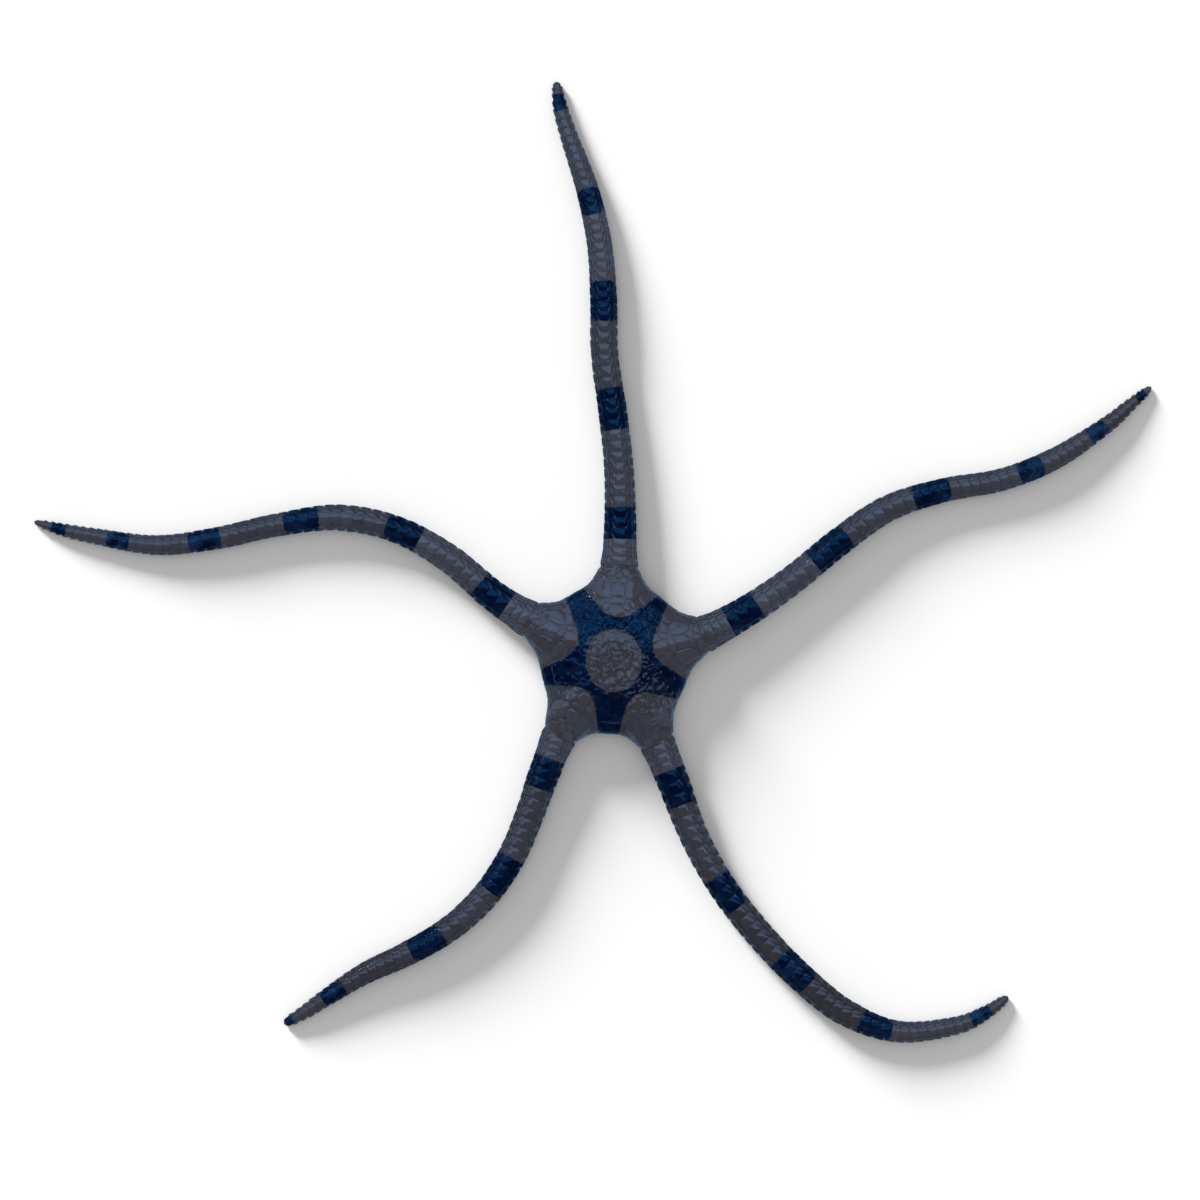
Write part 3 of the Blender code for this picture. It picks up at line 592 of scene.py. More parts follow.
def star_depth(x, y):
    """How far inside the edge of the dark star a plan point of the disc lies."""
    out = np.hypot(x, y)
    gap, off, _ = gap_place(bearing(x, y))
    aside = np.abs(out * np.sin(np.radians(off)))
    share = np.clip((out - STAR_RING[0]) / (STAR_MARGIN - STAR_RING[0]), 0, 1)
    ray = RAY_ROOT + share * (np.array(RAY_ENDS)[gap] - RAY_ROOT)
    off_hole = 0.5 * sum(STAR_HOLE) * (np.hypot(x / STAR_HOLE[0], y / STAR_HOLE[1]) - 1.0)
    in_ring = np.where(y > 0.8 * out, STAR_RING[1], STAR_RING[0]) - out
    in_ray = ray - aside
    corner = np.clip(STAR_CORNER - np.abs(in_ring - in_ray), 0, None) ** 2 / (4 * STAR_CORNER)
    return np.minimum(off_hole, np.maximum(in_ring, in_ray) + corner)


def star_mark(x, y):
    return edge_mark(star_depth(x, y))


def in_star(x, y):
    """Whether a plan point of the disc lies in the dark star."""
    return star_depth(x, y) > 0.0


class Pile:
    """The points, faces, markings and map places of one mesh as it grows."""

    def __init__(self):
        self.points, self.marks, self.places, self.quads, self.tris = [], [], [], [], []
        self.count = 0

    def add(self, points, marks, places, quads, tris):
        """Adds pieces of one form: points is pieces by points by 3, and so are the markings."""
        pieces, size = points.shape[:2]
        starts = self.count + size * np.arange(pieces)[:, None, None]
        self.quads.append((starts + quads).reshape(-1, 4))
        self.tris.append((starts + tris).reshape(-1, 3))
        self.points.append(points.reshape(-1, 3))
        self.marks.append(np.broadcast_to(marks, points.shape).reshape(-1, 3))
        self.places.append(places.reshape(-1, 2))
        self.count += pieces * size

    def mesh_object(self, name):
        plan = np.vstack(self.points)
        points = plan + (*DISC_MIDDLE, 0.0)
        quads, tris = np.vstack(self.quads), np.vstack(self.tris)
        mesh = bpy.data.meshes.new(name)
        mesh.vertices.add(len(points))
        mesh.vertices.foreach_set("co", (points * MM).astype(np.float32).ravel())
        corners = np.concatenate((quads.ravel(), tris.ravel())).astype(np.int32)
        starts = np.concatenate((4 * np.arange(len(quads)), 4 * len(quads) + 3 * np.arange(len(tris))))
        mesh.loops.add(len(corners))
        mesh.loops.foreach_set("vertex_index", corners)
        mesh.polygons.add(len(starts))
        mesh.polygons.foreach_set("loop_start", starts.astype(np.int32))
        mesh.update(calc_edges=True)
        set_marks(mesh, np.vstack(self.marks), plan)
        layer = mesh.uv_layers.new(name="OFBake")
        layer.data.foreach_set("uv", np.vstack(self.places)[corners].astype(np.float32).ravel())
        mesh.shade_smooth()
        ob = bpy.data.objects.new(name, mesh)
        bpy.context.scene.collection.objects.link(ob)
        return ob


def ripples(points):
    """How strongly the film of water is rippled: most in a lane across the disc."""
    x, y = points[:, 0], points[:, 1]
    turn = math.radians(RIPPLE_TURN)
    along = (x - RIPPLE_MIDDLE[0]) * math.cos(turn) + (y - RIPPLE_MIDDLE[1]) * math.sin(turn)
    across = (y - RIPPLE_MIDDLE[1]) * math.cos(turn) - (x - RIPPLE_MIDDLE[0]) * math.sin(turn)
    off = np.hypot(along / RIPPLE_HALF[0], across / RIPPLE_HALF[1])
    lane = np.clip((1.25 - off) / 0.5, 0.0, 1.0)
    out = np.hypot(x, y)
    ring = RING_RIPPLES * ((out < 12.0) & in_star(x, y))
    return np.maximum(lane, ring)


def set_marks(mesh, marks, points):
    """Stores the markings: how dark, how light within its colour, how warm, and the ripples."""
    layer = mesh.color_attributes.new("marks", "FLOAT_COLOR", "POINT")
    values = np.column_stack((marks, ripples(points))).astype(np.float32)
    layer.data.foreach_set("color", values.ravel())
    starts = np.empty(len(mesh.polygons), np.int32)
    corners = np.empty(len(mesh.loops), np.int32)
    mesh.polygons.foreach_get("loop_start", starts)
    mesh.loops.foreach_get("vertex_index", corners)
    tinted = (marks[:, 0] > DARK_EDGE[1]) & (ripples(points) <= RING_RIPPLES)
    dark = np.minimum.reduceat(tinted[corners], starts)
    mesh.polygons.foreach_set("material_index", dark.astype(np.int32))


def closed_faces(rings, spokes):
    """Quads between rings of points, which start at point 1, and triangles that close the ends."""
    ring, k = np.meshgrid(np.arange(rings - 1), np.arange(spokes), indexing="ij")
    near = 1 + ring * spokes + k
    after = 1 + ring * spokes + (k + 1) % spokes
    quads = joined(near, near + spokes, after + spokes, after).reshape(-1, 4)
    far = (rings - 1) * spokes
    opened = joined(0, near[0], after[0])
    closed = joined(far + spokes + 1, far + after[0], far + near[0])
    return quads, np.vstack((opened, closed))


def peg_patch(t, angles):
    """The map places of a long piece's points: its root, its rings and its tip."""
    rounds = joined(t[:, None] * 2 - 1, np.cos(angles))
    return PATCH * np.concatenate(([[-1, 0]], rounds.reshape(-1, 2), [[1, 0]]))


# Rings of a plate from its middle to its sunken foot, as shares of its outline
RING_SHARES = np.array((0.34, 0.62, 0.82, 0.93, 0.985, 1.0, 0.97))
EDGE_LIFT = 0.02
FOOT_LIFT = -0.16


def lay_plates(
    pile, place, centres, outlines, rise, crown, marks, homes, tilt=0.0, lip=0.0, dark_at=None
):
    """Adds domed plates with rounded edges.

    centres is plates by 2 and outlines is plates by spokes by 2, both in the surface's own
    coordinates. homes holds each plate's place in the map for baking. tilt raises the plate
    along its first coordinate, and lip raises only its far edge. dark_at gives the dark marking
    point by point instead of plate by plate.
    """
    count, spokes = outlines.shape[:2]
    rise, crown = np.broadcast_to(rise, count), np.broadcast_to(crown, count)
    shares = RING_SHARES
    rings = (shares[None, :, None, None] * outlines[:, None]).reshape(count, -1, 2)
    ends = np.zeros((count, 1, 2))
    flat = np.concatenate((ends, rings, ends), axis=1)
    ring_lift = rise[:, None] * np.sqrt(np.clip(1 - shares**7, 0, 1)) + crown[:, None] * (1 - shares**2)
    ring_lift[:, -2:] = (EDGE_LIFT, FOOT_LIFT)
    foot = np.full((count, 1), FOOT_LIFT)
    lift = np.concatenate(((rise + crown)[:, None], np.repeat(ring_lift, spokes, axis=1), foot), axis=1)
    reach = np.abs(outlines[..., 0]).max(axis=1)[:, None]
    along = flat[..., 0] / reach
    raised = np.ones(flat.shape[1])
    raised[-1 - spokes :] = 0.0
    lift = lift + raised * (tilt * along + lip * np.clip(along - 0.2, 0, 1) ** 2)
    spots = centres[:, None] + flat
    points = place(spots[..., 0], spots[..., 1], lift)
    rounds = (shares[:, None, None] * compass(full_turn(spokes))).reshape(-1, 2)
    patch = PATCH * np.concatenate((np.zeros((1, 2)), rounds, np.zeros((1, 2))))
    marks = np.repeat(marks[:, None], spots.shape[1], axis=1)
    if dark_at:
        marks[..., 0] = dark_at(spots[..., 0], spots[..., 1])
    pile.add(points, marks, homes[:, None] + patch, *closed_faces(len(shares), spokes))


def soft_polygon(edges, spokes, power):
    """Rounded outline inside straight edges, each a normal (along, across) and its distance."""
    spread = compass(full_turn(spokes))
    facing = sum(
        np.clip((spread[:, 0] * along + spread[:, 1] * across) / distance, 0, None) ** power
        for along, across, distance in edges
    )
    return spread * facing[:, None] ** (-1 / power)


def lay_spines(pile, arm, roots, marks, homes, lengths, radii):
    """Adds tapered spines that lie along the arm from roots (distance, share round)."""
    t, girth = np.array(SPINE_SHAPE)
    angles = full_turn(8)
    count = len(roots)
    along = roots[:, 0, None, None] + lengths[:, None, None] * t[None, :, None]
    thick = radii[:, None, None] * girth[None, :, None]
    level_share = np.clip((0.72 - np.abs(roots[:, 1])) / 0.2, 0, 1)
    stand = SPINE_LIFT + TIP_SPINE_LIFT * (1.0 / arm.slim(roots[:, 0]) - 1.0)
    stand = (stand * level_share)[:, None, None]
    lift = 0.09 + (0.06 + stand) * t[None, :, None] + 0.9 * thick * np.cos(angles)[None, None]
    turn = thick * np.sin(angles)[None, None] / arm.around(roots[:, 0])[:, None, None]
    u = roots[:, 1, None, None] + turn
    s = np.broadcast_to(along, u.shape)
    tip_s = roots[:, 0] + lengths
    root_points = arm.surface(roots[:, 0], roots[:, 1], np.full(count, -0.1))[:, None]
    tip_points = arm.surface(tip_s, roots[:, 1], 0.15 + stand[:, 0, 0])[:, None]
    body = arm.surface(s, u, lift).reshape(count, -1, 3)
    points = np.concatenate((root_points, body, tip_points), axis=1)
    stations = np.concatenate((roots[:, :1], s.reshape(count, -1), tip_s[:, None]), axis=1)
    marks = np.repeat(marks[:, None], stations.shape[1], axis=1)
    marks[..., 0] = arm.band_mark(stations, roots[:, 1, None])
    places = homes[:, None] + peg_patch(t, angles)
    pile.add(points, marks, places, *closed_faces(len(t), len(angles)))


def arm_home(number, s, u):
    """Place of a point of an arm in the map: each arm is a strip, its back along the middle."""
    start = np.array(ARM_MAP_START) + (0.0, ARM_MAP_STEP * number)
    return start + joined(s, u) * ARM_MAP_SCALE


def disc_home(x, y):
    """Place of a point of the disc in the map: a round of its own above the strips."""
    return DISC_MAP_MIDDLE + DISC_MAP_SCALE * joined(x, y)


def segment_marks(arm, middles):
    """Markings of the segments: dark or not, how light, and warmth towards the tip."""
    dark = arm.dark(middles)
    stretch = np.searchsorted([end for _, end in arm.bands], middles)
    light = np.array(arm.lightness)[stretch]
    light = np.where(dark > 0.5, np.interp(middles, *DARK_LIGHTNESS), light)
    light = np.clip(light + LIGHT_SPREAD * rng.standard_normal(len(middles)), 0, 1)
    tip = np.clip((middles - (arm.end - TIP_WARMING[0])) / TIP_WARMING[1], 0, 1) ** 1.5
    warm = 0.15 * rng.random(len(middles)) + arm.tip_warmth * tip
    warm = np.where(middles > arm.bands[-1][1], 1.0, warm)
    return joined(dark, light, warm)


def cover_arm(number, arm):
    """The plates and spines of one arm."""
    pile = Pile()
    near, far = arm.joints[:-1], arm.joints[1:]
    middle, pitch = 0.5 * (near + far), far - near
    base = segment_marks(arm, middle)

    def lay(keep, s, u, plate, outline, **more):
        length_share, half_u, rise, crown = plate
        centres = joined(s[keep], u)
        outlines = joined(length_share * pitch[keep], half_u)[:, None] * outline[None]
        marks = base[keep].copy()
        marks[:, 1] = np.clip(marks[:, 1] + LIGHT_SPREAD * rng.standard_normal(len(centres)), 0, 1)
        homes = arm_home(number, *centres.T)
        lay_plates(pile, arm.surface, centres, outlines, rise, crown, marks, homes, **more)

    back = middle > DORSAL_START
    flank = middle > DORSAL_START - 2.5
    beneath = near >= ROOT_START
    side_shape = soft_polygon(SIDE_EDGES, 32, 12)
    corner_shape = soft_polygon(VENTRAL_EDGES, 12, 4)
    ventral_shape = soft_polygon(VENTRAL_EDGES, 20, 6)
    lay(back, middle, 0.0, DORSAL_PLATE, soft_polygon(DORSAL_EDGES, 24, 7), tilt=0.01)
    for side in (-1, 1):
        mirrored = side_shape * (1, side)
        mirrored = mirrored if side > 0 else np.roll(mirrored[::-1], 1, axis=0)
        lay(flank, middle, side * SIDE_MIDDLE, SIDE_PLATE, mirrored, lip=0.05, dark_at=arm.band_mark)
        lay(back, far - 0.12 * pitch, side * 0.232, CORNER_PLATE, corner_shape)
    lay(beneath, middle, 1.0, VENTRAL_PLATE, ventral_shape)
    for side in (-1, 1):
        lay(beneath, far - 0.3 * pitch, side * 0.80, FOOT_SCALE, corner_shape)
        lay(beneath & ~flank, middle, side * 0.765, ROOT_PLATE, ventral_shape)

    spined = np.flatnonzero(flank & (far < arm.end - SPINE_ENDS[0]))
    slim = np.clip(arm.slim(middle), 0.3, 1.0)
    count = len(spined)
    for share in SPINE_ROWS:
        for side in (-1, 1):
            wander = 0.008 * rng.standard_normal(count)
            roots = joined(far[spined] - 0.38 * pitch[spined], side * (share + wander))
            lengths = SPINE_LENGTH * slim[spined] * rng.uniform(0.85, 1.1, count)
            lengths = np.minimum(lengths, arm.end - SPINE_ENDS[1] - roots[:, 0])
            radii = SPINE_RADIUS * rng.uniform(0.9, 1.1, count)
            marks = base[spined].copy()
            marks[:, 1] = np.clip(marks[:, 1] + 0.15 + 0.1 * rng.standard_normal(count), 0, 1)
            homes = arm_home(number, roots[:, 0] + 0.2, roots[:, 1])
            lay_spines(pile, arm, roots, marks, homes, lengths, radii)
    return pile


class Ellipses:
    """Plates of the disc as ellipses in plan, with how much each may grow into free room."""

    def __init__(self):
        self.rows = []

    def add(self, x, y, half_along, half_across, turn, warm, grow):
        self.rows.append((x, y, half_along, half_across, turn, warm, grow))

    def table(self):
        return np.array(self.rows).T

    def room(self, spots):
        """Distance from each spot to the nearest ellipse, less than 0 inside one."""
        x, y, a, b, turn = self.table()[:5]
        dx = spots[:, 0, None] - x
        dy = spots[:, 1, None] - y
        u = dx * np.cos(turn) + dy * np.sin(turn)
        v = dy * np.cos(turn) - dx * np.sin(turn)
        away = np.hypot(u, v) + 1e-9
        reach = 1.0 / np.hypot(u / away / a, v / away / b)
        return (away - reach).min(axis=1)


def disc_layout():
    """All the plates of the disc's upper side: the named ones, then scales in the room left."""
    found = Ellipses()
    for out, count, size, warm in MIDDLE_RINGS:
        for k in range(count):
            turn = math.radians(ARM_AXES[0] + 360.0 * (k + 0.5) / count)
            wander = rng.uniform(-0.12, 0.12, 2) if out else (0.0, 0.0)
            half = 0.5 * size * rng.uniform(0.92, 1.08)
            x, y = out * math.cos(turn) + wander[0], out * math.sin(turn) + wander[1]
            found.add(x, y, half, 1.05 * half, turn, warm, 1.3)
    for rows, turns in ((PLATES_OVER_ARM, ARM_AXES), (PLATES_BETWEEN_ARMS, GAP_AXES)):
        for number, degrees in enumerate(turns):
            turn = math.radians(degrees)
            c, s = math.cos(turn), math.sin(turn)
            squeeze = 1.0 if rows is PLATES_OVER_ARM else DISC_SIDES[number] / 14.8
            for along, aside, length, width, lean, warm in with_twins(rows):
                along = along * squeeze + rng.uniform(-0.08, 0.08)
                aside = aside + rng.uniform(-0.08, 0.08)
                x, y = along * c - aside * s, along * s + aside * c
                found.add(x, y, length / 2, width / 2, turn + math.radians(lean), warm, 1.25)
    for size in FILL_SIZES:
        turns = rng.uniform(0, math.tau, FILL_TRIES)
        outs = 24.0 * rng.uniform(0.05, 1.0, FILL_TRIES) ** 0.7
        for spot in outs[:, None] * compass(turns):
            if np.hypot(*spot) > disc_limit(*spot) - 0.4:
                continue
            if found.room(spot[None])[0] > 0.80 * size:
                half = size * rng.uniform(0.9, 1.1)
                turn = math.atan2(spot[1], spot[0])
                found.add(*spot, half, half * rng.uniform(0.9, 1.15), turn, 0.3 * rng.random(), 1.5)
    return found.table()


def grown_outlines(table, spokes):
    """Each ellipse grown and cut straight where it meets its neighbours, with soft corners."""
    x, y, a, b, turn, _, grow = table
    grooves = np.where(in_star(x, y), DARK_GROOVE, GROOVE)
    angles = full_turn(spokes)
    outlines = np.empty((len(x), spokes, 2))
    for k in range(len(x)):
        dx, dy = x - x[k], y - y[k]
        apart = np.hypot(dx, dy)
        near = np.flatnonzero((apart > 0) & (apart < 7.0))
        towards = np.arctan2(dy[near], dx[near])

        def reach(which, ways):
            u, v = np.cos(ways - turn[which]), np.sin(ways - turn[which])
            return 1.0 / np.hypot(u / a[which], v / b[which])

        mine, theirs = reach(k, towards), reach(near, towards + math.pi)
        limit = apart[near] * mine / (mine + theirs) - grooves[k] / 2
        facing = np.cos(angles[:, None] - towards)
        wall = np.where(facing > 0.05, limit / np.maximum(facing, 0.05), 1e3)
        own = grow[k] * reach(k, angles)
        inverse = own**-14.0 + (wall**-14.0).sum(axis=1)
        outlines[k] = (inverse ** (-1 / 14))[:, None] * compass(angles)
    return outlines


def cover_disc():
    """The plates of the disc's upper side and margin."""
    pile = Pile()
    table = disc_layout()
    x, y, a, b, _, warm, _ = table
    outlines = grown_outlines(table, 28)
    size = np.sqrt(a * b)
    dark = in_star(x, y).astype(float)
    light = np.clip(np.where(dark > 0.5, 0.15, 0.5) + 0.1 * rng.standard_normal(len(x)), 0, 1)
    marks = joined(dark, light, warm)
    centres = joined(x, y)
    calm = 1.0 - 0.6 * np.maximum(dark, ripples(centres))
    rise = np.interp(size, (0.3, 1.5), (0.07, 0.10)) * calm
    crown = np.interp(size, (0.3, 2.0), (0.015, 0.06)) * calm
    homes = disc_home(x, y)
    lay_plates(pile, disc_surface, centres, outlines, rise, crown, marks, homes, dark_at=star_mark)
    return pile


def lay_pegs(pile, roots, tips, radii, marks, homes):
    """Adds blunt round pegs that run from their roots to their tips."""
    t, girth = np.array(PEG_SHAPE)
    run = tips - roots
    forward = unit(run)
    aside = unit(np.cross(forward, (0.0, 0.0, 1.0)))
    over = np.cross(aside, forward)
    angles = full_turn(10)
    away = np.cos(angles)[:, None] * aside[:, None] + np.sin(angles)[:, None] * over[:, None]
    centres = roots[:, None] + t[:, None] * run[:, None]
    thick = radii[:, None] * girth
    body = centres[:, :, None] + thick[..., None, None] * away[:, None]
    points = np.concatenate((roots[:, None], body.reshape(len(roots), -1, 3), tips[:, None]), axis=1)
    places = homes[:, None] + peg_patch(t, angles)
    pile.add(points, marks[:, None], places, *closed_faces(len(t), len(angles)))


def pale_marks(count, dark=0.0):
    """Markings of pieces of the underside."""
    light = np.clip(0.5 + 0.2 * rng.standard_normal(count), 0, 1)
    return joined(dark, light, 0.4 * rng.random(count))


def lay_below(pile, height, spots, turns, shapes, rise, crown, marks):
    """Adds plates on the underside, each turned by its own angle as seen in plan."""
    c, s = np.cos(turns)[:, None], np.sin(turns)[:, None]
    along, across = shapes[..., 0], shapes[..., 1]
    outlines = joined(along * c + across * s, across * c - along * s)
    centres = spots * (1.0, -1.0)
    homes = disc_home(*spots.T)
    lay_plates(pile, oral_surface(height), centres, outlines, rise, crown, marks, homes)


def make_jaws():
    """The five jaws: a wedge each, with its plates, the small pegs along its sides and the teeth."""
    pile = Pile()
    angles = full_turn(48)
    table = np.array(JAW_OUTLINE)
    whole = np.vstack((table, table[-2::-1] * (1, -1)))
    steps = np.linspace(0, 1, 12, endpoint=False)[:, None]
    stops = np.vstack([a + (b - a) * steps for a, b in zip(whole, np.roll(whole, -1, axis=0))])
    centre = np.array((6.0, 0.0))
    turns = np.arctan2(*(stops - centre).T[::-1]) % math.tau
    order = np.argsort(turns)
    reach = np.linalg.norm(stops - centre, axis=1)[order]
    out = np.interp(angles, turns[order], reach, period=math.tau)
    wedge = centre + out[:, None] * compass(angles)
    shield = soft_polygon(SHIELD_EDGES, 32, 9)
    oval = soft_polygon(VENTRAL_EDGES, 32, 2.4)
    stations = np.array(PAPILLA_STATIONS)
    edge = jaw_half(stations)
    heights = np.array(TEETH_HEIGHTS)
    count = len(heights)
    for degrees in GAP_AXES:
        turn = math.radians(degrees)
        forward = compass(turn)
        left = np.array((-forward[1], forward[0]))

        def spot(along, across):
            return np.asarray(along)[..., None] * forward + np.asarray(across)[..., None] * left

        rings = []
        for height, share in JAW_BLOCK:
            ring = centre + share * (wedge - centre)
            plan = spot(ring[:, 0], ring[:, 1])
            rings.append(at_height(plan, height))
        rings = np.array(rings)
        points = np.vstack((rings[0].mean(axis=0), rings.reshape(-1, 3), rings[-1].mean(axis=0)))
        home = disc_home(*spot(6.0, 0.0))
        patch = home + DISC_MAP_SCALE * (points[:, :2] - spot(6.0, 0.0))
        faces = closed_faces(len(rings), len(angles))
        pile.add(points[None], pale_marks(1)[:, None], patch, *faces)

        for row, (along, across, length, width, lean) in enumerate(with_twins(JAW_PLATES)):
            shape = (shield if row == 0 else oval) * (0.5 * length, 0.5 * width)
            turned = np.array([turn + math.radians(lean)])
            where = spot(along, across)[None]
            lay_below(pile, JAW_LEVEL, where, turned, shape[None], 0.10, 0.12, pale_marks(1))

        for side in (-1, 1):
            roots = at_height(spot(stations, side * (edge - 0.30)), 0.66)
            tips = at_height(spot(stations - 0.2, side * (edge + 0.30)), 0.50)
            radii = PAPILLA_RADIUS * rng.uniform(0.9, 1.1, len(stations))
            lay_pegs(pile, roots, tips, radii, pale_marks(len(stations)), disc_home(*roots.T[:2]))
        roots = at_height(spot(np.full(count, 2.4), np.zeros(count)), heights)
        tips = at_height(spot(1.1 + 0.15 * np.arange(count), np.zeros(count)), heights - 0.05)
        radii = np.full(count, TOOTH_RADIUS)
        lay_pegs(pile, roots, tips, radii, pale_marks(count), disc_home(*roots.T[:2]))
    return pile


def below_room(spots):
    """How far plan spots lie from the arms and jaws on the underside, less than 0 inside them."""
    rooms = []
    for arm in arms.values():
        near = arm.distance < 22.0
        lane = joined(*arm.columns[:2])[near]
        away = np.linalg.norm(spots[:, None] - lane[None], axis=2)
        s = arm.distance[near][away.argmin(axis=1)]
        slit = np.where((s > SLIT[0] - 0.3) & (s < SLIT[1] + 0.3), 0.75, 0.0)
        rooms.append(away.min(axis=1) - arm.half(s) - slit)
    out = np.hypot(*spots.T)
    degrees = bearing(*spots.T)
    off = np.radians(gap_place(degrees)[1])
    along, across = out * np.cos(off), np.abs(out * np.sin(off))
    half = jaw_half(along)
    beyond = np.hypot(np.maximum(along - JAW_OUTLINE[-1][0], 0.0), across)
    rooms.append(np.where(half > 0, across - half, np.where(along > 6.0, beyond, 0.0)))
    rooms.append(rim_radius(degrees) * RIM_END - 0.1 - out)
    return np.min(rooms, axis=0)


def cover_underside():
    """The scales between the arms beneath the disc, and the slits beside the arms' roots, painted dark as
    the shade in their openings.
    """
    pile = Pile()
    found = Ellipses()
    found.add(0.0, 0.0, 1.0, 1.0, 0.0, 0.0, 1.0)
    for size in SCALE_SIZES:
        turns = rng.uniform(0, math.tau, FILL_TRIES // 2)
        outs = rng.uniform(5.0, 17.5, FILL_TRIES // 2)
        spots = outs[:, None] * compass(turns)
        spots = spots[below_room(spots) > 0.75 * size]
        for spot in spots:
            if found.room(spot[None])[0] > 0.8 * size:
                half = size * rng.uniform(0.9, 1.1)
                found.add(*spot, half, half, 0.0, 0.3, 1.35)
    table = found.table()
    outlines = grown_outlines(table, 24)[1:] * (1.0, -1.0)
    outlines = outlines[:, ::-1]
    spots = table[:2, 1:].T
    marks = pale_marks(len(spots))
    place = oral_surface(UNDERSIDE_HEIGHT)
    lay_plates(pile, place, spots * (1, -1), outlines, 0.06, 0.04, marks, disc_home(*spots.T))

    oval = soft_polygon(VENTRAL_EDGES, 32, 2.6)
    middle = 0.5 * (SLIT[0] + SLIT[1])
    for arm in arms.values():
        x, y, hx, hy, _ = arm.at(middle)
        half = arm.half(middle)
        for side in (-1, 1):
            turn = np.array([math.atan2(hy, hx) + side * math.radians(SLIT_WIDENING)])
            # Each slit is a flat oval in the dark colours, painted shade where an opening would be
            for off, length, width, rise, dark in SHADED_SLIT_AND_RIM:
                where = np.array([[x - hy * side * (half + off), y + hx * side * (half + off)]])
                shape = oval[None] * (0.5 * length, 0.5 * width)
                marks = pale_marks(1, dark)
                lay_below(pile, UNDERSIDE_HEIGHT, where, turn, shape, rise, 0.02, marks)
    return pile


def skin_marks(points):
    """Markings of skin points, given in plan from the middle of the disc."""
    dark = np.where(points[:, 2] > 2.0, star_mark(points[:, 0], points[:, 1]), 0.0)
    away = np.hypot(points[:, 0], points[:, 1])
    warm = np.where((away < 2.3) & (points[:, 2] < 3.5), 1.0, 0.3)
    widest = SECTION_LINE[:, 0].argmax() + 1
    for arm in arms.values():
        lane = joined(*arm.columns[:2])
        gap = np.linalg.norm(points[:, None, :2] - lane[None], axis=2)
        s = arm.distance[gap.argmin(axis=1)]
        aside = gap.min(axis=1)
        u = np.interp(aside / arm.half(s), SECTION_LINE[:widest, 0], SECTION_RUN[:widest])
        dark = np.where((aside < 4.5) & (away > DORSAL_START), arm.band_mark(s, u), dark)
    # The skin shows only in the grooves between plates; its low lightness paints shade into them
    return joined(dark, GROOVE_SHADE_LIGHTNESS, warm)


def closed_loft(rings, first, last, name):
    """A closed mesh through rings of points in millimetres from the middle of the disc."""
    count, spokes = rings.shape[:2]
    points = np.vstack((first, rings.reshape(-1, 3), last))
    points[:, :2] += DISC_MIDDLE
    quads, tris = closed_faces(count, spokes)
    faces = quads.tolist() + tris.tolist()
    mesh = bpy.data.meshes.new(name)
    mesh.from_pydata((points * MM).tolist(), [], faces)
    return bpy.data.objects.new(name, mesh)


def disc_skin():
    """The disc's skin from the middle of its back, round the margin, to the middle beneath."""
    turns = np.radians(np.arange(0, 360, 2.0))
    c, s = np.cos(turns), np.sin(turns)
    limit = disc_limit(c, s)
    rings = []
    for share in np.linspace(0.04, 1.0, 48):
        rings.append(disc_base(c * limit * share, s * limit * share))
    rim = rings[-1]
    for share in (0.85, 0.6, 0.35):
        rings.append(rim * (share, share, 1.0))
    for radius, height in MOUTH_LINE:
        rings.append(joined(radius * c, radius * s, height))
    return closed_loft(np.array(rings), [(0, 0, DISC_HEIGHT)], [(0, 0, MOUTH_LINE[-1][1] + 0.2)], "skin")


def arm_skin(arm):
    s = np.append(np.arange(4.0, arm.end, 0.5), arm.end)
    u = np.linspace(0.0, 2.0, 40, endpoint=False)
    grid_s, grid_u = np.meshgrid(s, u, indexing="ij")
    rings = arm.surface(grid_s, grid_u, np.zeros(grid_s.shape))
    first, last = rings[0].mean(axis=0), rings[-1].mean(axis=0)
    return closed_loft(rings, [first], [last], "arm_skin")


def make_skin():
    """One skin over the disc and the arms."""
    skin = disc_skin()
    bpy.context.scene.collection.objects.link(skin)
    pieces = bpy.data.collections.new("skin_pieces")
    bpy.context.scene.collection.children.link(pieces)
    for arm in arms.values():
        pieces.objects.link(arm_skin(arm))
    join = skin.modifiers.new("join", "BOOLEAN")
    join.operation = "UNION"
    join.operand_type = "COLLECTION"
    join.collection = pieces
    join.solver = "MANIFOLD"
    with bpy.context.temp_override(object=skin):
        bpy.ops.object.modifier_apply(modifier=join.name)
    for piece in list(pieces.objects):
        bpy.data.objects.remove(piece, do_unlink=True)
    bpy.data.collections.remove(pieces)
    points = np.empty(3 * len(skin.data.vertices), np.float32)
    skin.data.vertices.foreach_get("co", points)
    points = points.reshape(-1, 3) / MM
    points[:, :2] -= DISC_MIDDLE
    set_marks(skin.data, skin_marks(points), points)
    skin.data.materials.clear()
    skin.data.shade_smooth()
    return skin


def maths(tree, operation, *values, clamp=False):
    """One step of arithmetic in a node tree, on numbers and other nodes' outputs."""
    new = tree.nodes.new("ShaderNodeMath")
    new.operation = operation
    new.use_clamp = clamp
    for socket, value in zip(new.inputs, values):
        if isinstance(value, float):
            socket.default_value = value
        else:
            tree.links.new(value, socket)
    return new.outputs["Value"]


